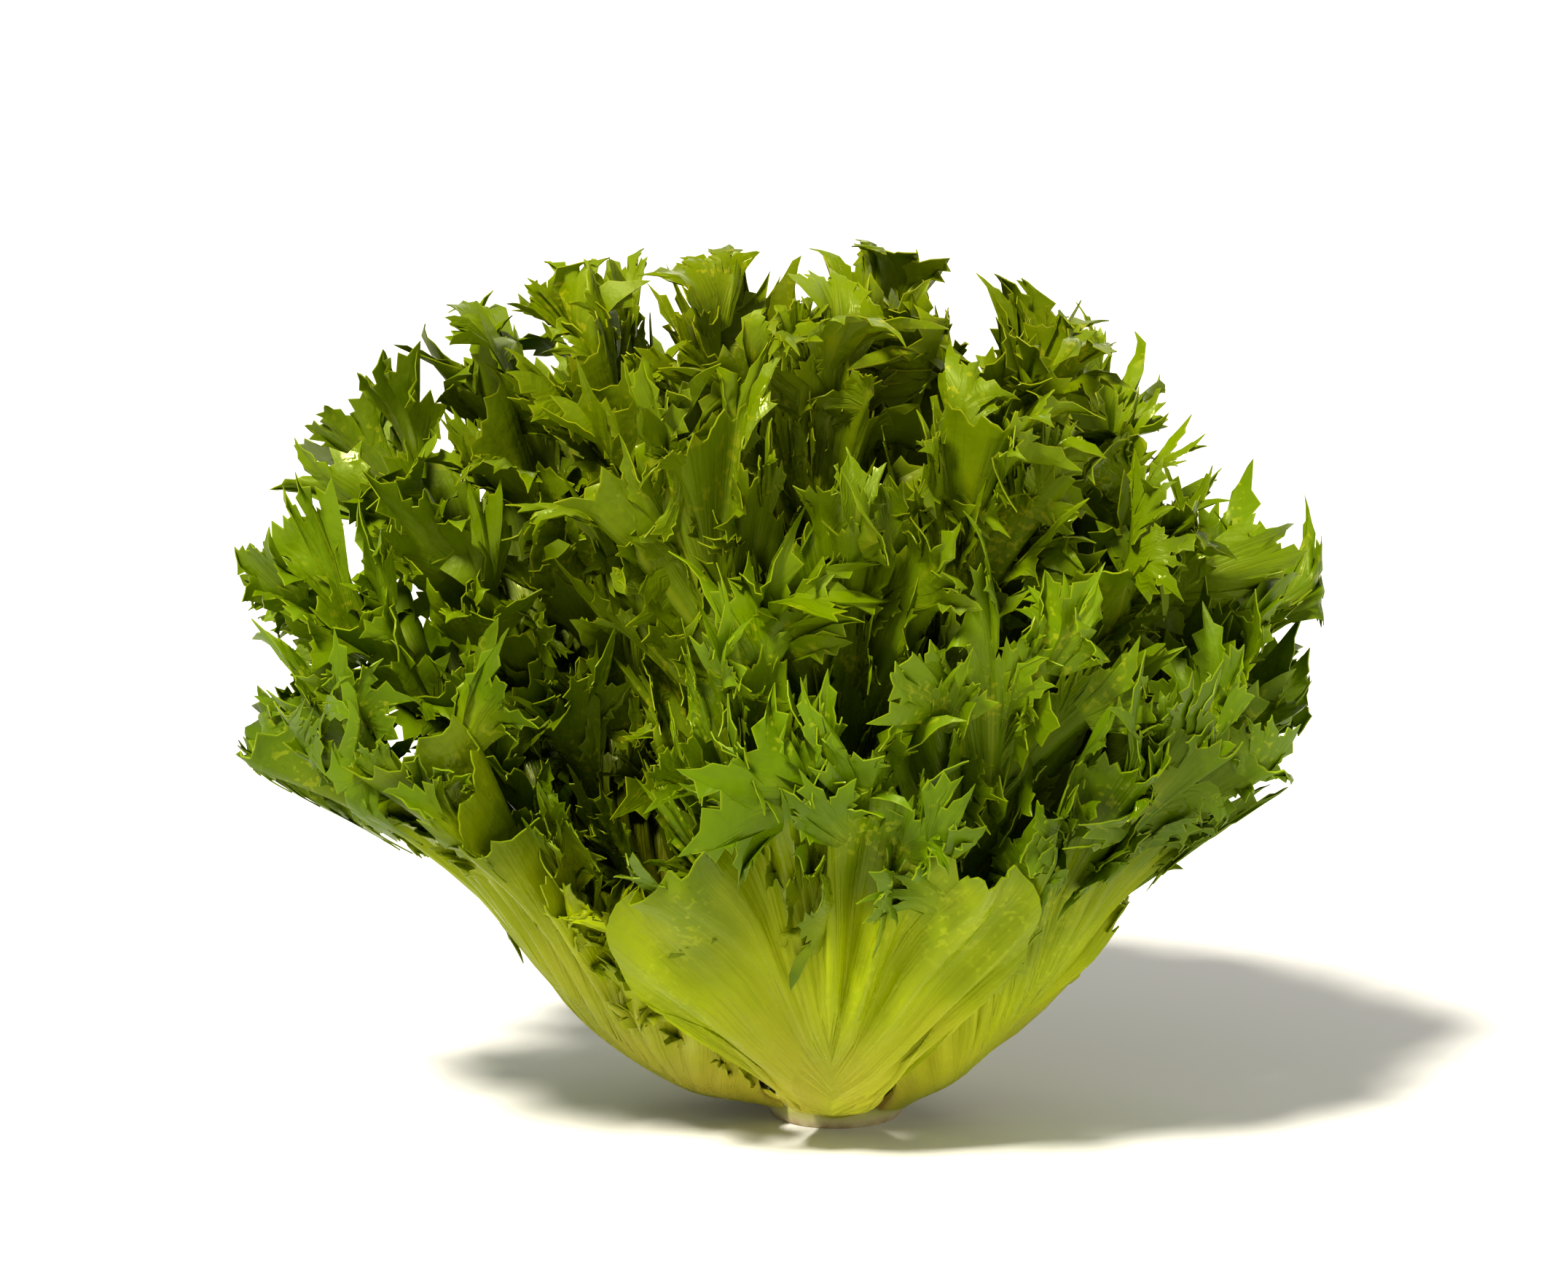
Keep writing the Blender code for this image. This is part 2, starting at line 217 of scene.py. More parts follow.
@dataclass(frozen=True)
class HeadForm:
    """The form that the frill fills: a dome above, and the outermost layer of leaves below."""

    bed: LeafBed = field(default_factory=LeafBed)
    centre: Triple = (-0.0150, 0.0156, 0.1250)
    reach: Triple = (0.1420, 0.1090, 0.0965)
    # The share of the dome over which points are pressed back softly.
    give: float = 0.08
    # How far the outer leaves' fans stand out from the outermost layer, and how far inside it others stay.
    low_margin: float = 0.0015
    under_outer: float = -0.0050
    # Both margins widen between these heights, where the leaves open.
    rim_margin: float = 0.0200
    rim_heights: Pair = (0.062, 0.105)
    low_give: float = 0.0060
    # The layer leans, so the way straight in to it is this share of the way across.
    lean_share: float = 0.8
    layer_steps: int = 64

    def dome_share(self, points: Array) -> Array:
        """How far out from the dome's middle points are: 1 is on the dome."""
        offset = (points - np.array(self.centre)) / np.array(self.reach)
        offset[..., 2] = np.maximum(offset[..., 2], 0.0)
        return np.linalg.norm(offset, axis=-1)

    def low_radius(self, points: Array) -> Array:
        """The outermost layer's radius at each point's height and bearing.

        Args:
            points: Points in the head.

        Returns:
            The radius for each point.
        """
        lengths = np.linspace(0.0, self.bed.fan_length, self.layer_steps)[:, None]
        flat = points.reshape(-1, 3)
        bearing = np.arctan2(flat[:, 1], flat[:, 0])[None]
        radius, height, _ = self.bed.line(lengths, 1.0, bearing)
        above = np.clip((height < flat[:, 2]).sum(0), 1, len(lengths) - 1)
        column = np.arange(len(flat))
        low, high = height[above - 1, column], height[above, column]
        share = np.clip((flat[:, 2] - low) / (high - low), 0.0, 1.0)
        return between(radius[above - 1, column], radius[above, column], share).reshape(points.shape[:-1])

    def depth(self, points: Array) -> Array:
        """About how deep in the head points are."""
        across = np.hypot(points[..., 0], points[..., 1])
        under_dome = (1.0 - self.dome_share(points)) * min(self.reach)
        return np.minimum(under_dome, self.lean_share * (self.low_radius(points) - across))

    def pressed(self, points: Array, outermost: bool) -> Array:
        """Presses what would leave the form softly back into it.

        Args:
            points: Points in the head.
            outermost: Whether they belong to the outer leaves, which the others stay under.

        Returns:
            The pressed points.
        """
        share = self.dome_share(points)
        start = 1.0 - self.give
        over = np.maximum(share - start, 0.0)
        factor = np.where(over > 0.0, (start + self.give * (1.0 - np.exp(-over / self.give))) / share, 1.0)
        offset = points - np.array(self.centre)
        height = np.where(offset[..., 2] < 0.0, offset[..., 2], offset[..., 2] * factor)
        level = offset[..., :2] * factor[..., None]
        points = np.array(self.centre) + np.concatenate([level, height[..., None]], -1)
        across = np.hypot(points[..., 0], points[..., 1])
        rim = smooth((points[..., 2] - self.rim_heights[0]) / (self.rim_heights[1] - self.rim_heights[0]))
        margin = self.low_margin if outermost else self.under_outer
        limit = self.low_radius(points) + margin + self.rim_margin * rim
        over = np.maximum(across - limit, 0.0)
        factor = 1.0 - (over - self.low_give * (1.0 - np.exp(-over / self.low_give))) / across
        return np.stack([points[..., 0] * factor, points[..., 1] * factor, points[..., 2]], -1)


@dataclass(frozen=True)
class Laps:
    """How much of its share of the turn a blade fills, and where neighbours lap like tiles."""

    # Cover at the foot, where neighbours lap, and above that, where the blade is waved.
    foot_cover: float = 0.84
    lap_cover: float = 1.22
    waved_cover: float = 0.91
    # How far up the blade laps start, how fast they grow, where they end and how fast they fade.
    start: float = 0.004
    growth: float = 0.024
    end: float = 0.048
    fade: float = 0.026
    # Between these shares of the half width a lapped edge is lifted, by this share of a layer.
    edge: Pair = (0.30, 0.70)
    lift: float = 0.050


@dataclass(frozen=True)
class Waves:
    """The main waves of a leaf's edge, the same as the solid's."""

    length: float = 0.029
    turn: float = math.radians(66.0)
    from_rib: float = 0.22
    height: float = 0.0066
    # Waves are stretched to fill the room up to a layer this much further out, less the blade's own.
    most_stretch: float = 1.5
    room_for_blade: float = 0.0011
    layer_step: float = 0.15
    edge_stretch: float = 1.5
    growth: float = 0.030
    # Sizes and lengths of what makes the waves' places and heights uneven.
    drift: tuple[Pair, ...] = ((0.8, 0.117), (0.4, 0.071))
    swell: Pair = (0.15, 0.083)
    # The edge is traced in many steps, crowded towards the tip, and then cut into even ones.
    edge_step: float = 0.0005
    trace_steps: int = 4000
    trace_crowding: float = 2.2
    # Rows between rib and edge at which the waves are worked out; the rows of a mesh lie between them.
    levels: int = 13

    def running_mean(self, values: Array) -> Array:
        """The mean over one wave of the edge, centred on each value."""
        span = int(round(self.length / self.edge_step))
        padded = np.pad(values, (span, span), mode="edge")
        return np.convolve(padded, np.ones(span) / span, mode="same")[span:-span]


@dataclass(frozen=True)
class Frill:
    """The lobes, horns and spines that part a blade's edge, in metres and degrees."""

    # Bays between lobes, and how far a lobe's edge varies.
    bay_depth: float = 0.015
    bay_start: float = 0.30
    fan_reach: Pair = (-0.016, -0.006)
    most_cut: float = 0.72
    # A lobe widens over its neck, turns on it, rolls and cups. The neck's length is the first share of a
    # bay's depth, up to the second share of the line from rib to edge.
    neck: Pair = (1.25, 0.6)
    past_neck: float = 1.6
    spread: float = 0.8
    fan_twist: float = 25.0
    most_twist: float = 2.0
    fan_roll: float = 40.0
    outward_roll: float = 30.0
    roll_growth: float = 1.2
    most_roll: float = 2.6
    roll_steps: int = 9
    fan_cup: float = 0.0040
    # Horns on each lobe: the notches between them, less deep in a bay, their ruffle and roll, and the slope
    # and the start of both towards the edge.
    horns: int = 3
    horn_depth: Pair = (0.004, 0.008)
    horn_sharpness: float = 1.8
    notch_in_bay: float = 0.7
    horn_ruffle: float = 0.0040
    ruffle_sizes: Pair = (0.5, 1.2)
    ruffle_rise: Pair = (2.2, 0.5)
    horn_roll: float = 60.0
    horn_roll_rise: Pair = (2.5, 1.5)
    # Spines along the edge: one in so many columns, longer by chance, shorter low on the blade.
    spine: float = 0.0021
    spine_columns: int = 3
    spine_sizes: Pair = (0.25, 1.1)
    low_spine: Pair = (0.12, 0.88)
    spine_start: float = 0.02
    spine_growth: float = 0.03
    most_spines: int = 4000
    # Small lobes below the frilled part, as a share of the full ones.
    fringe: float = 0.20
    fringe_start: float = 0.022
    fringe_growth: float = 0.012
    # Lobes start a little lower than the waves, and on some blades later than that.
    lead: float = 0.008
    late: float = 0.0
    # Mesh steps along the edge, how much its own run counts beside the run into bays, and rows at these
    # distances in from it, or at these shares of what is left towards the rib.
    step: float = 0.0017
    plain_step: float = 0.0042
    run_weight: float = 1.5
    edge_rows: tuple[float, ...] = (0.0, 0.0016, 0.0045, 0.009, 0.0155, 0.026)
    most_edge: float = 0.6
    rib_rows: tuple[float, ...] = (0.0, 0.25, 0.5, 0.75)
    # The most triangles of a blade, in the heart and from this layer outwards.
    blade_budget: Pair = (1800.0, 3400.0)
    full_budget_from: float = 0.4


@dataclass(frozen=True)
class CurledFan:
    """A horned fan on a broad neck, drawn flat and then curled, crumpled, cupped and bent.

    Lengths are shares of the fan's own, angles are degrees, and pairs are the limits, or the mean and the
    spread, of what is drawn by chance.
    """

    horns: int = 5
    steps: int = 12
    rings: tuple[float, ...] = (0.0, 0.36, 0.64, 0.85, 1.0)
    # How many columns share one point in each ring: few points at the neck and all of them at the edge.
    shared: tuple[int, ...] = (12, 6, 6, 2, 1)
    spread: Pair = (80.0, 112.0)
    neck_width: float = 0.46
    neck_length: float = 0.42
    # The horns: the outermost are shorter, they narrow to points, and bays lie between them.
    side_horn: float = 0.74
    side_fall: float = 1.5
    horn_sizes: Pair = (0.66, 1.30)
    bays: Pair = (0.28, 0.47)
    sharpness: Pair = (1.15, 1.7)
    narrowing: float = 1.25
    wobble: Pair = (0.97, 1.03)
    # Spines at these columns of a horn lean away from its tip and stand out by a share of their size.
    spine: float = 0.115
    spine_sizes: Pair = (0.2, 1.5)
    spine_places: tuple[int, ...] = (1, 3, 9, 11)
    spine_lean: float = 1.1
    spine_height: float = 0.7
    # Dents here and there, and flutes up and down by turns, both growing towards the edge.
    crumple: float = 0.06
    flute: float = 0.075
    flute_sizes: Pair = (-0.8, 1.4)
    crumple_growth: float = 1.6
    # Past curl_start each horn curls by itself, and the fan as a whole a little more or less.
    curl_start: float = 0.45
    curl: Pair = (12.0, 42.0)
    curl_growth: float = 0.6
    whole_curl: float = 18.0
    # The least and the most curl in radians, and the least cup and bend in radians a metre.
    curl_limits: Pair = (0.02, 2.7)
    least_rate: float = 1.0
    cup: float = 60.0
    most_cup: float = 1.3
    twist: float = 42.0
    bend: Pair = (-25.0, 88.0)
    bent_length: float = 1.3
    swing: float = 40.0

    def columns(self) -> tuple[Array, Array, Array]:
        """Each column's number, the horn that it is in and its place in that horn from 0 to 1."""
        column = np.arange(self.horns * self.steps + 1)
        horn = np.minimum(column // self.steps, self.horns - 1)
        return column, horn, (column - horn * self.steps) / self.steps

    def outline(self, sizes: Array, draw: np.random.Generator) -> tuple[Array, Array, Array]:
        """Draws the flat outlines of fans, each in its own way.

        Args:
            sizes: The length of each fan from its neck to its middle horn.
            draw: The source of chance.

        Returns:
            Points across and ahead on the neck and on the edge, by fan and column; and how near each column
            is to its horn's tip, from 0 in a bay to 1.
        """
        count = len(sizes)
        column, horn, place = self.columns()
        middle = 0.5 * (self.horns - 1)
        from_middle = np.abs(np.arange(self.horns) - middle) / middle
        envelope = 1.0 - (1.0 - self.side_horn) * from_middle**self.side_fall
        horns = envelope * draw.uniform(*self.horn_sizes, (count, self.horns))
        bays = draw.uniform(*self.bays, (count, self.horns + 1))
        bay = np.where(place > 0.5, bays[:, horn + 1], bays[:, horn])
        sharpness = draw.uniform(*self.sharpness, (count, self.horns))[:, horn]
        nearness = (1.0 - np.abs(2.0 * place - 1.0)) ** sharpness
        reach = bay + (horns[:, horn] - bay) * nearness
        spine = np.where(np.isin(column % self.steps, self.spine_places), self.spine, 0.0)
        spine = spine * draw.uniform(*self.spine_sizes, (count, len(column)))
        lean = np.sign(place - 0.5) * spine * self.spine_lean
        spread = np.radians(draw.uniform(*self.spread, count))[:, None]
        off_tip = 2.0 * place - 1.0
        narrowed = horn + 0.5 + 0.5 * np.sign(off_tip) * np.abs(off_tip) ** self.narrowing
        angle = spread * (2.0 * narrowed / self.horns - 1.0) + lean
        reach = (reach + self.spine_height * spine) * draw.uniform(*self.wobble, (count, len(column)))
        size = sizes[:, None]
        edge = [size * reach * np.sin(angle), size * (reach * np.cos(angle) + self.neck_length)]
        neck = size * self.neck_width * (column / column[-1] - 0.5)
        return np.stack([neck, np.zeros_like(neck)], -1), np.stack(edge, -1), nearness

    def horn_curl(self, nearness: Array, draw: np.random.Generator) -> Array:
        """How far each column curls between the start of the curl and the edge.

        Args:
            nearness: How near each column is to its horn's tip, by fan.
            draw: The source of chance.

        Returns:
            The angle for each fan and column, in radians and never 0.
        """
        count, (_, horn, _) = len(nearness), self.columns()
        least, most = self.curl_limits
        tips = np.radians(draw.normal(*self.curl, (count, self.horns)))
        whole = np.radians(draw.normal(0.0, self.whole_curl, count))[:, None]
        curl = tips[:, horn] * nearness**self.curl_growth + whole
        return np.clip(np.where(np.abs(curl) < least, least, curl), -most, most)

    def crumpled(self, count: int, draw: np.random.Generator) -> Array:
        """How far dents and flutes lift the edge of each fan, by column, as a share of its length.

        Args:
            count: How many fans there are.
            draw: The source of chance.

        Returns:
            The lift for each fan and column.
        """
        knots = np.arange(2 * self.horns + 1) * self.steps / 2
        flutes = self.flute * draw.uniform(*self.flute_sizes, (count, 1)) * (-1.0) ** np.arange(len(knots))
        dents = self.crumple * draw.normal(0.0, 1.0, (count, len(knots)))
        return eased(self.columns()[0], knots, dents + flutes)

    def flat(self, sizes: Array, draw: np.random.Generator) -> tuple[Array, Array]:
        """Draws fans flat, crumples them and curls their horns.

        Args:
            sizes: The length of each fan from its neck to its middle horn.
            draw: The source of chance.

        Returns:
            Points across, ahead and up by fan, ring and column; and how far each is from the cut edge.
        """
        neck, edge, nearness = self.outline(sizes, draw)
        line = edge - neck
        length = np.linalg.norm(line, axis=-1)[:, None]
        rings = np.array(self.rings)[None, :, None]
        curl = self.horn_curl(nearness, draw)[:, None]
        rest = 1.0 - self.curl_start
        past = np.maximum(rings - self.curl_start, 0.0) / rest
        ahead = np.minimum(rings, self.curl_start) + rest * np.sin(curl * past) / curl
        up = length * rest * (1.0 - np.cos(curl * past)) / curl
        heights = self.crumpled(len(sizes), draw)
        up = up + sizes[:, None, None] * heights[:, None] * rings**self.crumple_growth
        points = np.concatenate([neck[:, None] + line[:, None] * ahead[..., None], up[..., None]], -1)
        gap = length * (1.0 - rings)
        column = self.columns()[0]
        for ring, shared in enumerate(self.shared):
            chosen = (column + shared // 2) // shared * shared
            points[:, ring], gap[:, ring] = points[:, ring, chosen], gap[:, ring, chosen]
        return points, gap

    def curled(self, points: Array, sizes: Array, outwards: Array, draw: np.random.Generator) -> Array:
        """Cups each fan about its length, twists it on its neck and bends it about its width.

        Args:
            points: Flat fans.
            sizes: The length of each.
            outwards: 1 for a fan that bends outwards and -1 for one that bends inwards.
            draw: The source of chance.

        Returns:
            The curled fans.
        """
        count, most, least = len(sizes), self.most_cup, self.least_rate
        cup = np.radians(self.cup) * np.clip(draw.normal(0.0, 1.0, count), -most, most) / sizes
        bend = np.radians(draw.uniform(*self.bend, count)) * outwards / (self.bent_length * sizes)
        cup = np.where(np.abs(cup) < least, least, cup)[:, None, None]
        bend = np.where(np.abs(bend) < least, least, bend)[:, None, None]
        across, ahead, up = points[..., 0], points[..., 1], points[..., 2]
        across, up = rolled_up(across, up, cup, cup * across)
        turn = np.radians(self.twist) * draw.normal(0.0, 1.0, count)[:, None, None]
        turn = turn * smooth(ahead / sizes[:, None, None])
        across, up = across * np.cos(turn) - up * np.sin(turn), up * np.cos(turn) + across * np.sin(turn)
        ahead, up = rolled_up(ahead, up, bend, bend * np.maximum(ahead, 0.0))
        return np.stack([across, ahead, up], -1)


@dataclass(frozen=True)
class FanRow:
    """A row of fans on a leaf: how far from the edge their necks are, and how big they are.

    There is one in every so many half waves, and outwards is the share that bends outwards.
    """

    depth: float
    size: Pair
    every: float
    outwards: float
    on_face: bool


LARGE_FAN = CurledFan()
SMALL_FAN = CurledFan(
    horns=3, steps=4, rings=(0.0, 0.45, 0.8, 1.0), shared=(4, 2, 2, 1), bays=(0.30, 0.50), spine=0.10,
    spine_places=(1,)
)
FAN_ROWS = (
    FanRow(0.006, (0.011, 0.022), 0.70, 0.6, False),
    FanRow(0.018, (0.009, 0.018), 1.25, 1.0, True),
    FanRow(0.030, (0.009, 0.017), 1.40, 1.0, True),
    FanRow(0.044, (0.009, 0.016), 1.60, 1.0, True),
)
# Small fans along the edge of the outer leaves, below their frilled part.
FRINGE = FanRow(0.002, (0.0045, 0.0085), 0.36, 0.6, False)
# A ragged frill across the pale foot of the left front leaf, and how far up that leaf it runs.
FOOT_FRILL = FanRow(0.0200, (0.0060, 0.0100), 0.20, 1.0, False)
FOOT_FRILL_RUN = 0.016, 0.090
# The fans next to a leaf's tip are larger, out to this many half waves from it.
TIP_FANS, TIP_GROWTH = 5.0, 0.35
# Only whorls further out than this layer bear fans on their faces.
FACE_FANS_FROM = 0.25
# A fan is moved by up to this many half waves from its even place, and by these shares of its depth.
FAN_DRIFT, DEPTH_DRIFT = 0.25, (0.8, 1.25)
# Full fans stand only where the edge is parted more fully than this share.
LEAST_LOBING = 0.3
# Fans deeper in the head than this would never be seen, and are left out.
DEEPEST_FAN = 0.064
# How far up its blade a leaf bears fans, left and right of its rib; others bear them from a little below
# their frilled part. None stands lower than this in the head but the small ones of a fringe or frill.
FANS_FROM = {"outer_leaf_1": (0.056, 0.078), "outer_leaf_2": (0.084, 0.084), "outer_leaf_3": (0.080, 0.074)}
FANS_BELOW_FRILL = 0.004
LOWEST_FAN = 0.044
# A blade faces down where its way up falls below this. Fans there, up to these heights in the head, bend
# inwards and leave the face clear, so that the underside shows smooth.
UNDERSIDE = -0.52
UNDERSIDE_TOP = {"outer_leaf_1": 0.045}
USUAL_UNDERSIDE_TOP = 0.060
# A blade's outward face is the one that looks away from the stem and down by this much.
OUTWARD_DROP = 0.3
# Each fan's stretch of the noise that runs along an edge, and the step from one fan's to the next.
FAN_RUN, FAN_RUN_STEP = 40.0, 50.0
FAN_SEED = 1000
# The least share of a leaf's thickness that a point keeps, and the angle past which an edge shows sharp.
THINNEST, CREASE = 0.02, math.radians(62.0)


@dataclass(frozen=True)
class Flesh:
    """The thickness of a leaf: a fleshy rib at the foot, a thin blade and a thinner edge."""

    blade: float = 0.00070
    edge: float = 0.00038
    fan: float = 0.00044
    fan_edge: float = 0.00024
    edge_width: float = 0.006
    rib_depth: float = 0.0036
    rib_half_width: float = 0.0085
    rib_reach: float = 0.72
    rib_rise: float = 1.35
    rib_taper: float = 0.7
    heart_share: float = 0.15
    # The veins leave the rib up to this share of the length. A keel lifts the foot of the rib, and grows and
    # fades along the blade.
    vein_reach: float = 0.72
    keel: float = 0.0
    keel_half_width: float = 0.014
    keel_growth: float = 0.02
    keel_end: float = 0.045
    keel_fade: float = 0.05
    # Fine pleats between the veins, and how much and how often they sway.
    pleat: float = 0.00025
    pleat_gap: float = 0.0065
    pleat_sway: Pair = (1.6, 90.0)
    # Broad folds, which wander, swell and shrink along the edge.
    fold: float = 0.0017
    left_fold: float = 1.0
    fold_gap: float = 0.021
    fold_wander: Triple = (1.8, 0.13, 2.1)
    fold_swell: Pair = (0.5, 0.019)
    # Pleats and folds start away from the rib and the foot and are weaker on the lobes.
    pleat_start: float = 0.45
    pleat_height: float = 0.055
    pleat_loss: float = 0.6


@dataclass(frozen=True)
class Whorl:
    """The leaves of one layer: bearing and half share of the turn in degrees, and length in metres."""

    name: str
    layer: float
    frill_start: float
    lap: float
    slot: Slot
    leaves: tuple[Triple, ...]


WHORLS = (
    Whorl("outer_leaf", 1.00, 0.058, 1.0, Slot.OUTER, (
        (-92, 30, 0.132), (-33, 28, 0.148), (24, 29, 0.152),
        (82, 29, 0.150), (139, 28, 0.158), (196, 29, 0.172))),
    Whorl("second_leaf", 0.83, 0.060, 0.9, Slot.OUTER, (
        (-108, 20, 0.152), (-58, 30, 0.156), (2, 30, 0.165),
        (62, 30, 0.165), (122, 30, 0.170), (182, 30, 0.186))),
    Whorl("third_leaf", 0.66, 0.064, 0.9, Slot.MIDDLE, (
        (-88, 32, 0.170), (-24, 32, 0.174), (40, 32, 0.172), (105, 33, 0.180), (172, 34, 0.192))),
    Whorl("fourth_leaf", 0.50, 0.070, 0.8, Slot.MIDDLE, (
        (-124, 34, 0.184), (-56, 34, 0.186), (14, 36, 0.184), (86, 36, 0.186), (162, 40, 0.198))),
    Whorl("fifth_leaf", 0.33, 0.080, 0.0, Slot.INNER, (
        (-100, 43, 0.192), (-13, 44, 0.190), (76, 45, 0.190), (169, 48, 0.198))),
    Whorl("inner_leaf", 0.17, 0.090, 0.0, Slot.INNER, (
        (-50, 60, 0.186), (70, 60, 0.184), (190, 60, 0.192))),
    Whorl("heart_leaf", 0.02, 0.090, 0.0, Slot.INNER, (
        (-90, 60, 0.160), (30, 60, 0.150), (150, 60, 0.165))),
)
# The front leaf laps over both its neighbours, and is smooth and keeled up to its late frill.
FRONT_LEAF = "outer_leaf_1"
FRONT_FRILL_START = 0.080
FRONT_LAPS = Laps(
    foot_cover=0.62, lap_cover=1.42, start=0.032, growth=0.040, end=0.084, fade=0.045, lift=0.085
)
FRONT_FRILL = Frill(fringe=0.0, late=0.018, blade_budget=(9000.0, 9000.0))
FRONT_FLESH = Flesh(vein_reach=0.34, keel=0.007, fold=0.0028, left_fold=0.35)
# The left front leaf is broad and lies under both of its own.
LEFT_FRONT_LEAF = "outer_leaf_6"
LEFT_FRONT_LAPS = Laps(foot_cover=1.02, lap_cover=1.48)
# The outer leaves have short veins, a slight keel and finer blades.
OUTER_FRILL = Frill(blade_budget=(6000.0, 6000.0))
OUTER_FLESH = Flesh(vein_reach=0.34, fold=0.0016, keel=0.003)
# Leaves that stay pale further up: how fast each turns green along its blade.
SLOW_TO_GREEN = {"outer_leaf_6": 0.62, "second_leaf_1": 0.75, "outer_leaf_2": 0.78, "outer_leaf_1": 0.62}


@dataclass(frozen=True)
class CutEdge:
    """A blade's edge by column of its mesh: where it lies, which lobe is where, and how it is parted."""

    at: Array
    fan: Array
    place: Array
    horn: Array
    full: Array
    # The foot of each column's line on the rib, the ways out along that line and along the edge, and how
    # far it is to the plain edge and to the cut one.
    rib_along: Array
    out: tuple[Array, Array]
    run: tuple[Array, Array]
    line: Array
    ends: Array
    # How far each column is from the middle of its lobe, the length of the lobe's neck, the spine and the
    # height of the blade's pleats and folds.
    from_centre: Array
    neck: Array
    spine: Array
    pleats: Array


@dataclass(frozen=True)
class FanBase:
    """Where on its blade one fan grows, and what kind it is."""

    level: int
    column: int
    size: float
    outwards: float
    on_face: bool
    small: bool
    stands: bool


@dataclass
class EndiveLeaf:
    """One leaf: drawn flat across and along its rib, waved and frilled, and bent onto its layer."""

    whorl: Whorl
    number: int
    seed: int
    bed: LeafBed = field(default_factory=LeafBed)
    form: HeadForm = field(default_factory=HeadForm)
    laps: Laps = field(default_factory=Laps)
    waves: Waves = field(default_factory=Waves)
    frill: Frill = field(default_factory=Frill)
    flesh: Flesh = field(default_factory=Flesh)
    tip_roundness: float = 5.0

    def __post_init__(self) -> None:
        """Places the leaf in its whorl and draws its flat edge."""
        bearing, half_share, self.length = self.whorl.leaves[self.number - 1]
        self.name = f"{self.whorl.name}_{self.number}"
        self.layer = self.whorl.layer
        self.bearing, self.half_share = math.radians(bearing), math.radians(half_share)
        self.outermost = self.whorl is WHORLS[0]
        if self.outermost:
            self.frill, self.flesh = OUTER_FRILL, OUTER_FLESH
        if self.name == LEFT_FRONT_LEAF:
            self.laps = LEFT_FRONT_LAPS
        if self.name == FRONT_LEAF:
            self.laps, self.frill, self.flesh = FRONT_LAPS, FRONT_FRILL, FRONT_FLESH
        self.greening = SLOW_TO_GREEN.get(self.name, 1.0)
        self.cover = self.laps.lap_cover if self.whorl.lap else self.laps.waved_cover
        lift = self.laps.lift * self.whorl.lap
        self.frill_start = FRONT_FRILL_START if self.name == FRONT_LEAF else self.whorl.frill_start
        sides = {FRONT_LEAF: Side.OVER_BOTH, LEFT_FRONT_LEAF: Side.UNDER_BOTH}
        self.side = sides.get(self.name, Side.TILED)
        self.lift_left = lift if self.side is Side.OVER_BOTH else -lift
        self.lift_right = -lift if self.side is Side.UNDER_BOTH else lift
        self.trace_edge(random.Random(self.seed))

    def half_width(self, along: Array) -> Array:
        """Half the blade's width, which follows its share of the turn and rounds off at the tip.

        Args:
            along: Distances from the leaf's foot.

        Returns:
            Half the width there.
        """
        radius = self.bed.line(along, self.layer, self.bearing)[0]
        laps = self.laps
        grown = smooth((along - laps.start) / laps.growth)
        cover = laps.foot_cover + (self.cover - laps.foot_cover) * grown
        cover -= (self.cover - laps.waved_cover) * smooth((along - laps.end) / laps.fade)
        share = np.clip(along / self.length, 0.0, 1.0)
        return self.half_share * radius * cover * np.sqrt(np.maximum(1.0 - share**self.tip_roundness, 0.0))

    def wave_stretch(self, along: Array) -> Array:
        """How far the waves are stretched to fill the room between this layer and the next.

        Args:
            along: Distances from the leaf's foot.

        Returns:
            The stretch there.
        """
        radius, height, lean = self.bed.line(along, self.layer, self.bearing)
        next_radius, next_height, _ = self.bed.line(along, self.layer + self.waves.layer_step, self.bearing)
        apart = (next_radius - radius) * np.cos(lean) - (next_height - height) * np.sin(lean)
        stretch = (0.5 * apart - self.waves.room_for_blade) / self.waves.height
        return np.clip(stretch, 0.0, self.waves.most_stretch)

    def trace_edge(self, draw: random.Random) -> None:
        """Draws the flat edge in even steps from the left foot corner round the tip to the right.

        Args:
            draw: The leaf's own source of chance, which gives the waves their places.
        """
        waves, step = self.waves, self.waves.edge_step
        share = np.linspace(0.0, 1.0, waves.trace_steps)
        along = self.length * (1.0 - (1.0 - share) ** waves.trace_crowding)
        across = self.half_width(along)
        run = np.concatenate([[0.0], np.cumsum(np.hypot(np.diff(across), np.diff(along)))])
        side = np.linspace(0.0, run[-1], int(run[-1] / step) + 1)
        along, across = np.interp(side, run, along), np.interp(side, run, across)
        self.half_run = side[-1]
        self.from_tip = np.concatenate([side - side[-1], side[-1] - side[::-1][1:]])
        self.edge_across = np.concatenate([-across, across[::-1][1:]])
        self.edge_along = np.concatenate([along, along[::-1][1:]])
        rib = self.flesh.vein_reach * self.length
        self.rib_along = rib * (1.0 - np.abs(self.from_tip) / self.half_run) ** self.flesh.rib_rise
        self.waved = smooth((self.edge_along - self.frill_start) / waves.growth)
        self.stretch = self.wave_stretch(self.edge_along)
        slow, fast, swell = (draw.uniform(0.0, 2.0 * math.pi) for _ in range(3))
        turns = 2.0 * np.pi * np.abs(self.from_tip)
        drift = 0.0
        for (size, length), start in zip(waves.drift, (slow, fast)):
            drift = drift + size * (np.sin(turns / length + start) - math.sin(start))
        self.phase = (turns / waves.length + drift) * np.sign(self.from_tip)
        size, length = waves.swell
        self.swell = 1.0 - size + size * np.sin(2.0 * np.pi * self.from_tip / length + swell)
        self.swell = self.swell * draw.choice((-1.0, 1.0))
        lean_across, lean_along = np.gradient(self.edge_across, step), np.gradient(self.edge_along, step)
        slant = np.hypot(lean_across, lean_along)
        self.edge_run = np.stack([lean_across / slant, lean_along / slant])

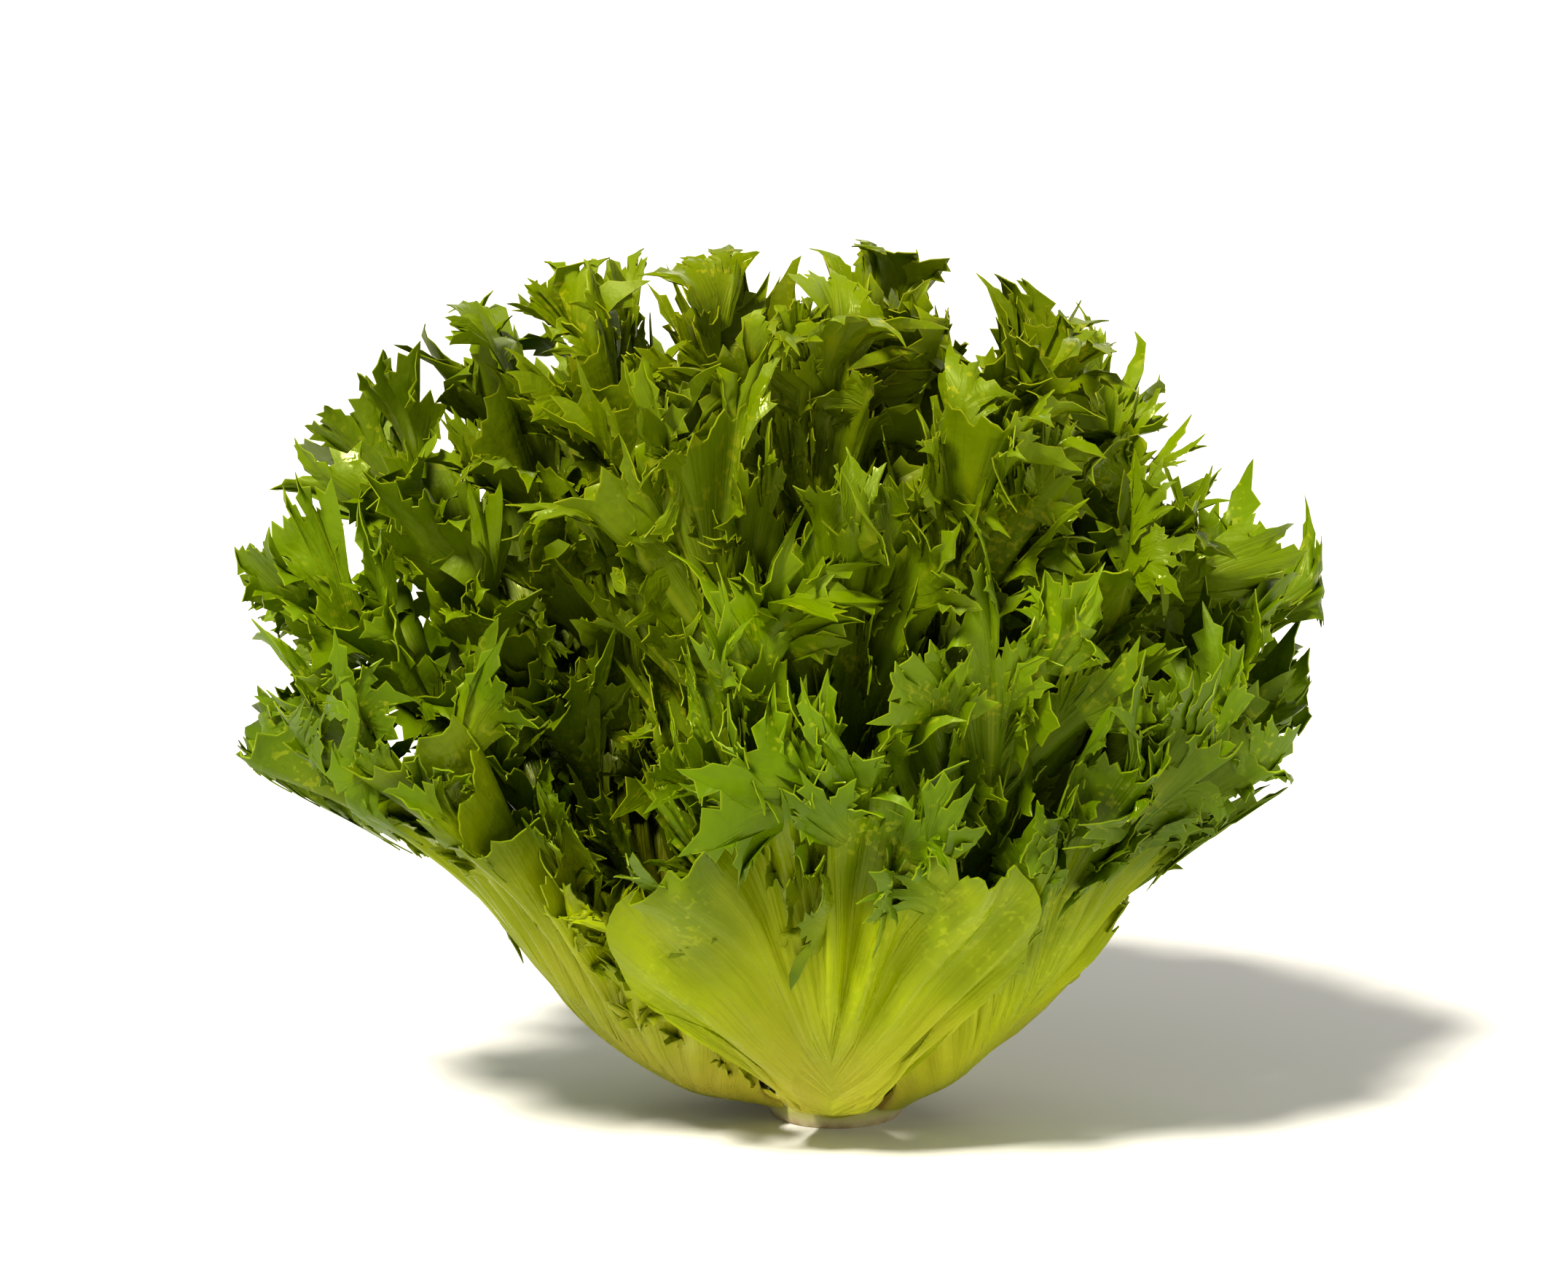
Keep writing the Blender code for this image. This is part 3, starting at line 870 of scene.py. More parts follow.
    def main_wave(self, row: float) -> tuple[Array, Array]:
        """The edge's waves at this share of the way from rib to edge.

        Args:
            row: 0 at the rib and 1 at the edge.

        Returns:
            How far the blade stands out, and how far it is turned, at each step of the edge.
        """
        waves = self.waves
        grown = smooth((row - waves.from_rib) / (1.0 - waves.from_rib))
        turn = waves.turn * grown * self.waved * self.swell * np.sin(self.phase)
        climb = np.cumsum(np.sin(turn) / waves.running_mean(np.cos(turn))) * waves.edge_step
        out = (climb - waves.running_mean(climb)) * self.waved * self.stretch
        return out * between(1.0, waves.edge_stretch, grown), turn

    def lobe_marks(self, phase: Array) -> tuple[Array, Array, Array]:
        """Which fan each place of the edge is in, and where in it.

        Args:
            phase: The phase of the main wave.

        Returns:
            The fan's number from 0, the place in it from -0.5 to 0.5, and the horn's number in the leaf.
        """
        first = int(np.round(self.phase[0] / np.pi)) - 1
        fan = np.round(phase / np.pi)
        place = phase / np.pi - fan
        horn = np.clip(np.round(place * self.frill.horns), -1, 1)
        return (fan - first).astype(int), place, ((fan - first) * self.frill.horns + horn + 1).astype(int)

    def edge_reach(self, phase: Array, full: Array, chance: "Chances") -> Array:
        """How far the cut edge lies outside the plain edge, below 0 in bays and between horns.

        Args:
            phase: The phase of the main wave.
            full: How fully the edge is parted.
            chance: The leaf's own draws.

        Returns:
            The reach at each phase.
        """
        frill = self.frill
        fan, place, horn = self.lobe_marks(phase)
        bay = smooth((2.0 * np.abs(place) - frill.bay_start) / (1.0 - frill.bay_start))
        from_horn = np.abs(place * frill.horns - np.clip(np.round(place * frill.horns), -1, 1))
        notch = 1.0 - np.maximum(1.0 - 2.0 * np.minimum(from_horn, 0.5), 0.0) ** frill.horn_sharpness
        reach = chance.reach[fan] * (1.0 - bay) - frill.bay_depth * bay
        reach = reach - chance.horn_depth[horn] * notch * (1.0 - frill.notch_in_bay * bay)
        return reach * full

    def columns(self, chance: "Chances") -> Array:
        """Distances from the tip where the mesh's lines meet the edge, even along the cut edge.

        Args:
            chance: The leaf's own draws.

        Returns:
            The distances, below 0 on the left.
        """
        middle = len(self.from_tip) // 2
        frill, full = self.frill, self.lobing(self.edge_along)
        halves = []
        for part in (slice(middle, None), slice(middle, None, -1)):
            away, phase = np.abs(self.from_tip[part]), self.phase[part]
            reach = self.edge_reach(phase, full[part], chance)
            slope = np.gradient(reach, self.waves.edge_step)
            step = between(frill.plain_step, frill.step, np.minimum(full[part], 1.0))
            steps = np.cumsum((np.sqrt(frill.run_weight + slope**2) / step)[1:])
            halves.append((away, np.concatenate([[0.0], steps]) * self.waves.edge_step))
        number = int(max(count[-1] for _, count in halves))
        right, left = (
            np.interp(np.linspace(0, count[-1], number + 1), count, away) for away, count in halves
        )
        return np.concatenate([-left[:0:-1], right])

    def lobing(self, along: Array) -> Array:
        """How fully the edge is parted: small lobes low on the blade, full ones where it is frilled."""
        frill = self.frill
        fringe = frill.fringe * smooth((along - frill.fringe_start) / frill.fringe_growth)
        full = smooth((along - self.frill_start - frill.late + frill.lead) / self.waves.growth)
        return fringe + (1.0 - fringe) * full

    def spines(self, along: Array, full: Array, chance: "Chances") -> Array:
        """How far each column's spine stands out of the edge.

        Args:
            along: How far up the leaf each column meets the edge.
            full: How fully the edge is parted there.
            chance: The leaf's own draws.

        Returns:
            The length of each spine, mostly 0.
        """
        frill, column = self.frill, np.arange(len(along))
        least, varied = frill.spine_sizes
        low, frilled = frill.low_spine
        size = frill.spine * (least + varied * chance.spine[column // frill.spine_columns])
        spine = np.where(column % frill.spine_columns == 1, 1.0, 0.0) * size * (low + frilled * full)
        return spine * smooth((along - frill.spine_start) / frill.spine_growth)

    def pleats(self, at: Array) -> Array:
        """How far pleats and folds lift the blade along the line that meets the edge at this place.

        Args:
            at: Distances along the edge from the tip.

        Returns:
            The lift of each line.
        """
        flesh = self.flesh
        sway, often = flesh.pleat_sway
        wander, length, start = flesh.fold_wander
        swell, swell_length = flesh.fold_swell
        turns = 2.0 * np.pi * at
        pleats = flesh.pleat * np.sin(turns / flesh.pleat_gap + sway * np.sin(at * often + self.seed))
        wandered = wander * np.sin(turns / length + start * self.seed)
        fold = flesh.fold * np.where(at < 0.0, flesh.left_fold, 1.0)
        fold = fold * (1.0 + swell * np.sin(at / swell_length + self.seed))
        return pleats + fold * np.sin(turns / flesh.fold_gap + wandered)

    def cut_edge(self, chance: "Chances") -> CutEdge:
        """Parts the edge into lobes, horns and spines.

        Args:
            chance: The leaf's own draws.

        Returns:
            The cut edge by column.
        """
        frill, at = self.frill, self.columns(chance)
        lines = self.phase, self.edge_across, self.edge_along, self.rib_along, self.lobing(self.edge_along)
        phase, across, along, rib_along, full, *run = (
            np.interp(at, self.from_tip, line) for line in (*lines, *self.edge_run)
        )
        # The two halves meet point by point at the rib.
        rib_along = 0.5 * (rib_along + rib_along[::-1])
        fan, place, horn = self.lobe_marks(phase)
        line = np.maximum(np.hypot(across, along - rib_along), 1e-6)
        reach = np.maximum(self.edge_reach(phase, full, chance), -frill.most_cut * line)
        neck, most_neck = frill.neck
        return CutEdge(
            at=at,
            fan=fan,
            place=place,
            horn=horn,
            full=full,
            rib_along=rib_along,
            out=(across / line, (along - rib_along) / line),
            run=tuple(run),
            line=line,
            ends=line + reach,
            from_centre=place * np.pi / np.maximum(np.gradient(phase, at), 1.0),
            neck=np.minimum(frill.bay_depth * neck, most_neck * line),
            spine=self.spines(along, full, chance),
            pleats=self.pleats(at),
        )

    def surface(self) -> tuple[Array, Array, Array, Array]:
        """Rows of points from the rib to the edge.

        Returns:
            Points across, along and out from the layer; the flat distance of each point from the edge; its
            distance along the edge from the tip; and how far it is along its line from the rib.
        """
        frill, chance = self.frill, Chances.drawn(self)
        edge = self.cut_edge(chance)
        near = np.minimum(frill.edge_rows[-1], frill.most_edge * edge.ends)
        distances = [(edge.ends - near) * share for share in frill.rib_rows]
        distances += [edge.ends - near * depth / frill.edge_rows[-1] for depth in frill.edge_rows[::-1]]
        waves = [self.main_wave(level) for level in np.linspace(0.0, 1.0, self.waves.levels)]
        outs, turns = (
            np.array([np.interp(edge.at, self.from_tip, wave) for wave in kind]) for kind in zip(*waves)
        )
        column, last = np.arange(len(edge.at)), self.waves.levels - 1
        # Each row's waves lie between those of the two levels next to it, and only the last row has spines.
        rows = []
        for distance in distances:
            level = np.clip(distance / edge.line * last, 0.0, last - 0.001)
            below = level.astype(int)
            part = level - below
            out = outs[below, column] * (1 - part) + outs[below + 1, column] * part
            turn = turns[below, column] * (1 - part) + turns[below + 1, column] * part
            spine = edge.spine if distance is distances[-1] else np.zeros_like(edge.spine)
            rows.append(self.row(edge, distance, (out, turn, spine), chance))
        edge_gap = np.array([edge.ends - distance for distance in distances])
        return np.array(rows), edge_gap, np.broadcast_to(edge.at, edge_gap.shape), np.array(distances)

    def row(
        self, edge: CutEdge, distance: Array, shape: tuple[Array, Array, Array], chance: "Chances"
    ) -> Array:
        """One row of the blade's points, with its lobes, folds and keel.

        Args:
            edge: The cut edge.
            distance: How far each point is from the rib.
            shape: How far the waves stand out there, how far they turn the blade, and the spines.
            chance: The leaf's own draws.

        Returns:
            Points across, along and out from the layer.
        """
        frill, flesh, (out, turn, spine) = self.frill, self.flesh, shape
        beyond = np.clip((distance - (edge.line - edge.neck)) / edge.neck, 0.0, frill.past_neck)
        grown, full = smooth(beyond), edge.full
        roll, roll_out, roll_back = self.rolled(beyond, edge, chance)
        twist = chance.twist[edge.fan] * grown * full
        side = edge.from_centre * (1.0 + frill.spread * grown * full)
        aside = edge.from_centre * frill.spread * grown * full + side * (np.cos(twist) - 1.0)
        slope, start = frill.ruffle_rise
        ruffle = chance.ruffle[edge.fan] * np.cos(frill.horns * np.pi * edge.place)
        ruffle = ruffle * smooth(slope * beyond - start) * full
        cup = chance.cup[edge.fan] * (2.0 * edge.place) ** 2 * grown * full
        lift = side * np.sin(twist) + ruffle + cup + roll_out + spine * np.sin(roll)
        keel = np.exp(-((edge.out[0] * distance / flesh.keel_half_width) ** 2)) * flesh.keel
        height = edge.rib_along + edge.out[1] * distance
        keel = keel * smooth(height / flesh.keel_growth)
        out = out + keel * (1.0 - smooth((height - flesh.keel_end) / flesh.keel_fade))
        pleats = edge.pleats * smooth(distance / edge.line / flesh.pleat_start)
        lift = lift + pleats * (1.0 - grown * flesh.pleat_loss) * smooth(height / flesh.pleat_height)
        ahead = distance + roll_back + spine * np.cos(roll)
        aside = aside - lift * np.sin(turn)
        along = edge.rib_along + edge.out[1] * ahead + edge.run[1] * aside
        across = edge.out[0] * ahead + edge.run[0] * aside
        return np.stack([across, np.maximum(along, 0.0), out + lift * np.cos(turn)], -1)

    def rolled(self, beyond: Array, edge: CutEdge, chance: "Chances") -> tuple[Array, Array, Array]:
        """Rolls each lobe and horn round an axis along the edge.

        Args:
            beyond: How far past the lobe's neck the row is, as a share of the neck.
            edge: The cut edge.
            chance: The leaf's own draws.

        Returns:
            The angle of roll, how far it lifts the blade, and how far it draws it back.
        """
        frill = self.frill
        slope, start = frill.horn_roll_rise
        steps = np.linspace(0.0, 1.0, frill.roll_steps)[:, None] * beyond[None]
        horn_roll = chance.horn_roll[edge.horn] * smooth(slope * steps - start)
        turn = (chance.roll[edge.fan] * steps**frill.roll_growth + horn_roll) * edge.full
        turn = np.clip(turn, -frill.most_roll, frill.most_roll)
        lift = edge.neck * np.trapz(np.sin(turn), steps, axis=0)
        back = edge.neck * np.trapz(np.cos(turn) - 1.0, steps, axis=0)
        return turn[-1], lift, back

    def rib_share(self, across: Array, along: Array) -> Array:
        """The rib's share of its full depth: deepest in the middle of the foot, gone at the rib's end."""
        left = np.clip(1.0 - along / (self.flesh.rib_reach * self.length), 0.0, 1.0)
        return left**self.flesh.rib_taper * np.exp(-((across / self.flesh.rib_half_width) ** 2))

    def in_head(self, points: Array) -> Array:
        """Bends flat points onto the leaf's layer of the bed, edges lifted where neighbours lap.

        Args:
            points: Points across, along and out.

        Returns:
            The same points in the head.
        """
        laps = self.laps
        across, along, out = points[..., 0], points[..., 1], points[..., 2]
        bearing = self.bearing + across / self.bed.line(along, self.layer, self.bearing)[0]
        half = self.half_width(np.minimum(along, laps.end + laps.fade))
        side = across / np.maximum(half, self.waves.edge_step)
        near_edge = smooth((np.abs(side) - laps.edge[0]) / (laps.edge[1] - laps.edge[0]))
        lift = np.where(side < 0.0, self.lift_left, self.lift_right) * near_edge
        lift = lift * smooth(along / laps.growth) * (1.0 - smooth((along - laps.end) / laps.fade))
        radius, height, lean = self.bed.line(along, self.layer + lift, bearing)
        radius = radius + out * np.cos(lean)
        height = height - out * np.sin(lean)
        return np.stack([radius * np.cos(bearing), radius * np.sin(bearing), height], -1)

    @staticmethod
    def held_in(points: Array) -> Array:
        """Presses what would leave the part's box softly back into it.

        Args:
            points: Points in the head.

        Returns:
            The pressed points.
        """
        low, high = (np.array(corner) for corner in PACKED_BOX)
        give, spare = BOX_GIVE, BOX_SPARE * (high - low)
        low, high = low - spare, high + spare
        over = np.maximum(points - (high - give), 0.0)
        under = np.maximum((low + give) - points, 0.0)
        under[..., 2] = 0.0
        pressed = points - over + give * (1.0 - np.exp(-over / give))
        return pressed + under - give * (1.0 - np.exp(-under / give))

    def build(self) -> Thing:
        """Models the leaf: a blade and its fans, each a grid shaped in code, joined and given thickness.

        Returns:
            The finished leaf, at the origin.
        """
        flat, edge_gap, from_tip, rib_gap = self.surface()
        points = self.in_head(flat)
        depth = self.thickness(flat, edge_gap)
        most = float(depth.max())
        blade = self.sheet(self.name + "_fine", points, depth / most, {
            "along": self.greening * flat[..., 1] / self.length,
            "edge_gap": edge_gap / MILLIMETRE,
            "rib": self.rib_share(flat[..., 0], flat[..., 1]),
            "edge_run": from_tip / MILLIMETRE,
            "rib_gap": rib_gap / MILLIMETRE,
            "youth": np.full(edge_gap.shape, 1.0 - self.layer),
        })
        self.close(blade)
        fullness = smooth(self.layer / self.frill.full_budget_from)
        self.thin(blade, between(*self.frill.blade_budget, fullness))
        fans = self.fans(flat, points, edge_gap, from_tip[0], most)
        LOG.info("%s has %d fans", self.name, len(fans))
        if fans:
            frill = self.joined(fans)
            self.close(frill)
            self.joined([frill, blade])
        self.thicken(blade, most)
        return blade

    @staticmethod
    def joined(pieces: list[Thing]) -> Thing:
        """Joins pieces into the last of them.

        Args:
            pieces: Pieces, at least one.

        Returns:
            The last, which now holds them all.
        """
        turned_off()
        for piece in pieces:
            piece.select_set(True)
        bpy.context.view_layer.objects.active = pieces[-1]
        bpy.ops.object.join()
        return pieces[-1]

    def sheet(self, name: str, points: Array, flesh: Array, marks: dict[str, Array]) -> Thing:
        """A grid with its points set, its flesh group and its marks.

        Args:
            name: The sheet's name.
            points: Its points by row and column.
            flesh: The thickness at each point as a share of the greatest.
            marks: Numbers for the finish to read.

        Returns:
            The sheet.
        """
        rows, columns = points.shape[:2]
        turned_off()
        bpy.ops.mesh.primitive_grid_add(
            x_subdivisions=columns - 1, y_subdivisions=rows - 1, size=self.length
        )
        sheet = bpy.context.object
        sheet.name = sheet.data.name = name
        points = self.held_in(points)
        sheet.data.vertices.foreach_set("co", points.reshape(-1, 3).astype(np.float32).ravel())
        group = sheet.vertex_groups.new(name="flesh")
        weights = np.round(flesh.ravel(), 2)
        for weight in np.unique(weights):
            group.add([int(i) for i in np.flatnonzero(weights == weight)], float(weight), "REPLACE")
        for mark, values in marks.items():
            self.mark(sheet.data, mark, values)
        return sheet

    def fan_rows(self) -> list[FanRow]:
        """The rows of fans that this leaf bears."""
        rows = [*FAN_ROWS] if self.layer > FACE_FANS_FROM else [FAN_ROWS[0]]
        if self.name == LEFT_FRONT_LEAF:
            rows.append(FOOT_FRILL)
        return [*rows, FRINGE]

    def fan_wanted(self, row: FanRow, number: float, along: float, height: float, full: float) -> bool:
        """Whether a fan stands here.

        Args:
            row: The fan's row.
            number: Its place in half waves from the tip, below 0 on the left.
            along: How far up the blade it is.
            height: How high in the head it is.
            full: How fully the edge is parted there.

        Returns:
            True if it does.
        """
        usual = self.frill_start - FANS_BELOW_FRILL
        left_from, right_from = FANS_FROM.get(self.name, (usual, usual))
        lowest = left_from if number < 0 else right_from
        high_enough = along >= lowest and height >= LOWEST_FAN
        if row is FOOT_FRILL:
            return number > 0 and FOOT_FRILL_RUN[0] < along < FOOT_FRILL_RUN[1]
        if row is FRINGE:
            return not high_enough and self.outermost and along > self.frill.fringe_start
        return high_enough and full > LEAST_LOBING

    def fan_bases(
        self, flat: Array, points: Array, edge_gap: Array, at: Array, draw: np.random.Generator
    ) -> list[FanBase]:
        """Chooses by chance where fans grow from the blade, how big they are and which way they bend.

        Args:
            flat: The blade's flat points.
            points: The same in the head.
            edge_gap: Their distance from the edge.
            at: The place of each column along the edge.
            draw: The source of chance.

        Returns:
            The fans' bases, row by row.
        """
        phase = np.interp(at, self.from_tip, self.phase) / np.pi
        full = np.interp(at, self.from_tip, self.lobing(self.edge_along))
        bases = []
        for row in self.fan_rows():
            for number in np.arange(phase[0] + 1.0, phase[-1] - 1.0, row.every):
                column = int(np.searchsorted(phase, number + draw.uniform(-FAN_DRIFT, FAN_DRIFT)))
                column = min(max(column, 2), len(at) - 3)
                depth = row.depth * draw.uniform(*DEPTH_DRIFT)
                level = int(np.argmin(np.abs(edge_gap[:, column] - depth)))
                level = min(max(level, 1), len(points) - 2)
                growth = 1.0 + TIP_GROWTH * max(0.0, 1.0 - abs(number) / TIP_FANS)
                size = draw.uniform(*row.size) * growth
                outwards = 1.0 if draw.random() < row.outwards else -1.0
                along, height = flat[level, column, 1], points[level, column, 2]
                wanted = self.fan_wanted(row, number, along, height, full[column])
                if wanted and self.form.depth(points[level, column][None])[0] < DEEPEST_FAN:
                    small, stands = row in (FRINGE, FOOT_FRILL), row is FOOT_FRILL
                    bases.append(FanBase(level, column, size, outwards, row.on_face, small, stands))
        return bases

    def fans(self, flat: Array, points: Array, edge_gap: Array, at: Array, most: float) -> list[Thing]:
        """Curled fans that peel off the blade along its edge and over its outward face.

        Args:
            flat: The blade's flat points.
            points: The same in the head.
            edge_gap: Their distance from the edge.
            at: The place of each column along the edge.
            most: The leaf's greatest thickness.

        Returns:
            One sheet for each fan.
        """
        draw = np.random.default_rng(FAN_SEED + self.seed)
        bases = self.fan_bases(flat, points, edge_gap, at, draw)
        if not bases:
            return []
        levels, columns, sizes, outwards, on_face, small, stands = (
            np.array(values) for values in zip(*map(astuple, bases))
        )
        feet = points[levels, columns]
        ahead = unit(points[levels + 1, columns] - points[levels - 1, columns])
        aside = unit(points[levels, columns + 2] - points[levels, columns - 2])
        up = unit(np.cross(aside, ahead))
        bearing = np.arctan2(feet[:, 1], feet[:, 0])
        radial = np.stack([np.cos(bearing), np.sin(bearing), np.full(len(feet), -OUTWARD_DROP)], -1)
        up = up * np.sign(np.sum(up * radial, -1))[:, None]
        top = UNDERSIDE_TOP.get(self.name, USUAL_UNDERSIDE_TOP)
        under = (up[:, 2] < UNDERSIDE) & (feet[:, 2] < top) & ~stands
        outwards = np.where(under, -1.0, outwards)
        kept = ~(under & on_face)
        fans = []
        for shape, wanted in ((LARGE_FAN, kept & ~small), (SMALL_FAN, kept & small)):
            if not wanted.any():
                continue
            local, gap = shape.flat(sizes[wanted], draw)
            local = shape.curled(local, sizes[wanted], outwards[wanted], draw)
            ways = self.swung(aside[wanted], ahead[wanted], up[wanted], shape.swing, draw)
            placed = feet[wanted][:, None, None] + sum(
                local[..., axis : axis + 1] * way[:, None, None] for axis, way in enumerate(ways)
            )
            placed = self.form.pressed(placed, self.outermost)
            along = flat[levels[wanted], columns[wanted], 1] / self.length
            for fan in range(len(local)):
                reach = np.linalg.norm(local[fan], axis=-1)
                fans.append(self.fan_sheet(len(fans), placed[fan], reach, gap[fan], along[fan], most))
        return fans

    @staticmethod
    def swung(
        aside: Array, ahead: Array, up: Array, spread: float, draw: np.random.Generator
    ) -> tuple[Array, Array, Array]:
        """The ways across, ahead and up for each fan, swung on the blade by chance.

        Args:
            aside: The way across the fan's foot.
            ahead: The way out of the blade.
            up: The way off the blade.
            spread: How far fans usually swing, in degrees.
            draw: The source of chance.

        Returns:
            The three ways, after the swing.
        """
        swing = np.radians(draw.normal(0.0, spread, len(up)))[:, None]
        cosine, sine = np.cos(swing), np.sin(swing)
        return aside * cosine - ahead * sine, ahead * cosine + aside * sine, up

    def fan_sheet(
        self, number: int, points: Array, reach: Array, gap: Array, along: float, most: float
    ) -> Thing:
        """The sheet of one fan.

        Args:
            number: The fan's number on its leaf.
            points: Its points in the head.
            reach: How far each is from the fan's foot.
            gap: How far each is from the cut edge.
            along: How far up the leaf the foot is.
            most: The leaf's greatest thickness.

        Returns:
            The sheet, with the marks that continue those of its blade.
        """
        flesh = self.flesh
        thick = between(flesh.fan_edge, flesh.fan, smooth(gap / flesh.edge_width)) / most
        run = np.linspace(0.0, FAN_RUN, reach.shape[1]) + FAN_RUN_STEP * number
        return self.sheet(f"{self.name}_fan_{number}", points, thick, {
            "along": self.greening * along + reach / self.length,
            "edge_gap": gap / MILLIMETRE,
            "rib": np.zeros_like(reach),
            "edge_run": np.broadcast_to(run, reach.shape),
            "rib_gap": reach / MILLIMETRE,
            "youth": np.full(reach.shape, 1.0 - self.layer),
        })

    def thickness(self, flat: Array, edge_gap: Array) -> Array:
        """The leaf's thickness at each point: rib, blade and thin edge."""
        rib = self.flesh.rib_depth * between(self.flesh.heart_share, 1.0, self.layer)
        blade = between(self.flesh.edge, self.flesh.blade, smooth(edge_gap / self.flesh.edge_width))
        return blade + rib * self.rib_share(flat[..., 0], flat[..., 1])

    @staticmethod
    def mark(mesh: bpy.types.Mesh, name: str, values: Array) -> None:
        """Keeps one number per point on the mesh for its finish to read."""
        attribute = mesh.attributes.new(name, "FLOAT", "POINT")
        attribute.data.foreach_set("value", values.astype(np.float32).ravel())

    @staticmethod
    def close(sheet: Thing) -> None:
        """Merges points that meet, as the two halves do at the rib, and cuts the sheet into triangles."""
        turned_off()
        sheet.select_set(True)
        bpy.context.view_layer.objects.active = sheet
        bpy.ops.object.mode_set(mode="EDIT")
        bpy.ops.mesh.select_all(action="SELECT")
        bpy.ops.mesh.remove_doubles(threshold=MEETING)
        bpy.ops.mesh.quads_convert_to_tris(quad_method="SHORTEST_DIAGONAL")
        bpy.ops.object.mode_set(mode="OBJECT")

    @staticmethod
    def thin(sheet: Thing, budget: float) -> None:
        """Thins a sheet of triangles where it is plain, down to this many.

        Args:
            sheet: The closed and active sheet.
            budget: The most triangles that it may keep.
        """
        if budget >= len(sheet.data.polygons):
            return
        thin = sheet.modifiers.new("thin", "DECIMATE")
        thin.ratio = budget / len(sheet.data.polygons)
        bpy.ops.object.modifier_apply(modifier=thin.name)

    @staticmethod
    def thicken(leaf: Thing, most: float) -> None:
        """Gives the joined sheet its thickness.

        Args:
            leaf: The sheet.
            most: Its greatest thickness.
        """
        wall = leaf.modifiers.new("wall", "SOLIDIFY")
        wall.thickness = most
        wall.offset = 0.0
        wall.vertex_group = "flesh"
        wall.thickness_vertex_group = THINNEST
        bpy.ops.object.modifier_apply(modifier=wall.name)
        bpy.ops.object.shade_smooth_by_angle(angle=CREASE)


@dataclass(frozen=True)
class Chances:
    """What varies by chance from lobe to lobe and horn to horn of one blade."""

    reach: Array
    twist: Array
    roll: Array
    cup: Array
    ruffle: Array
    horn_depth: Array
    horn_roll: Array
    spine: Array

    @classmethod
    def drawn(cls, leaf: EndiveLeaf) -> "Chances":
        """Draws a leaf's own values, the same in every run.

        Args:
            leaf: The leaf, with its edge traced.

        Returns:
            Its values.
        """
        draw, frill = np.random.default_rng(leaf.seed), leaf.frill
        fans = int(np.round(leaf.phase[-1] / np.pi) - np.round(leaf.phase[0] / np.pi)) + 4
        horns = fans * frill.horns + 3
        most = frill.most_twist
        reach = draw.uniform(*frill.fan_reach, fans)
        # One number a lobe is passed over, which keeps the order of those that follow.
        draw.random(fans)
        return cls(
            reach=reach,
            twist=np.radians(frill.fan_twist) * np.clip(draw.normal(0.0, 1.0, fans), -most, most),
            roll=np.radians(draw.normal(frill.outward_roll, frill.fan_roll, fans)),
            cup=frill.fan_cup * draw.uniform(-1.0, 1.0, fans),
            ruffle=(
                frill.horn_ruffle * draw.choice((-1.0, 1.0), fans) * draw.uniform(*frill.ruffle_sizes, fans)
            ),
            horn_depth=draw.uniform(*frill.horn_depth, horns),
            horn_roll=np.radians(frill.horn_roll) * draw.normal(0.0, 1.0, horns),
            spine=draw.random(frill.most_spines),
        )


class NodeTree:
    """Short words for wiring a material's nodes."""

    def __init__(self, name: str) -> None:
        """Starts an empty material."""
        self.material = bpy.data.materials.new(name)
        self.material.use_nodes = True
        self.nodes, self.links = self.material.node_tree.nodes, self.material.node_tree.links
        self.nodes.clear()
        self.place = 0

    def add(self, kind: str, inputs: dict | None = None, **settings: object) -> bpy.types.Node:
        """Adds a node.

        Args:
            kind: The node's type without its ShaderNode prefix.
            inputs: Sockets to link or values to set, by name or index.
            settings: Properties of the node.

        Returns:
            The node.
        """
        node = self.nodes.new("ShaderNode" + kind)
        self.place += 1
        node.location = (200 * self.place, 0)
        for name, value in settings.items():
            setattr(node, name, value)
        for name, value in (inputs or {}).items():
            if isinstance(value, Socket):
                self.links.new(value, node.inputs[name])
            else:
                node.inputs[name].default_value = value
        return node

    def number(self, name: str) -> Socket:
        """A number kept on the mesh."""
        return self.add("Attribute", attribute_name=name).outputs["Fac"]

    def maths(self, operation: str, *values: object) -> Socket:
        """One step of arithmetic."""
        return self.add("Math", dict(enumerate(values)), operation=operation).outputs[0]

    def times(self, first: Socket, second: object) -> Socket:
        """The product of two numbers."""
        return self.maths("MULTIPLY", first, second)

    def step(self, value: Socket, low: float, high: float, to: Pair = (0.0, 1.0)) -> Socket:
        """Maps low to high smoothly onto another range."""
        inputs = {"Value": value, "From Min": low, "From Max": high, "To Min": to[0], "To Max": to[1]}
        return self.add("MapRange", inputs, interpolation_type="SMOOTHSTEP").outputs["Result"]

    def ramp(self, value: Socket, stops: tuple[tuple[float, tuple], ...]) -> Socket:
        """Colours by value.

        Args:
            value: What the colour follows.
            stops: Values and their colours.

        Returns:
            The colour.
        """
        node = self.add("ValToRGB", {"Fac": value})
        elements = node.color_ramp.elements
        while len(elements) < len(stops):
            elements.new(0.5)
        for element, (position, colour) in zip(elements, stops):
            element.position = position
            element.color = (*colour, 1.0)
        return node.outputs["Color"]

    def mix(self, share: object, first: object, second: object, blend: str = "MIX") -> Socket:
        """Mixes two colours.

        Args:
            share: How much of the second colour shows.
            first: The colour below.
            second: The colour above.
            blend: How the second lies on the first.

        Returns:
            The mixed colour.
        """
        node = self.add("Mix", data_type="RGBA", blend_type=blend)
        for name, value in (("Factor", share), ("A", first), ("B", second)):
            socket = next(s for s in node.inputs if s.name == name and s.enabled)
            if isinstance(value, Socket):
                self.links.new(value, socket)
            else:
                socket.default_value = value if name == "Factor" else (*value, 1.0)
        return next(s for s in node.outputs if s.enabled)

    def noise(self, vector: Socket, scale: float, detail: float = 2.0) -> Socket:
        """A soft noise from 0 to 1."""
        return self.add("TexNoise", {"Vector": vector, "Scale": scale, "Detail": detail}).outputs["Fac"]


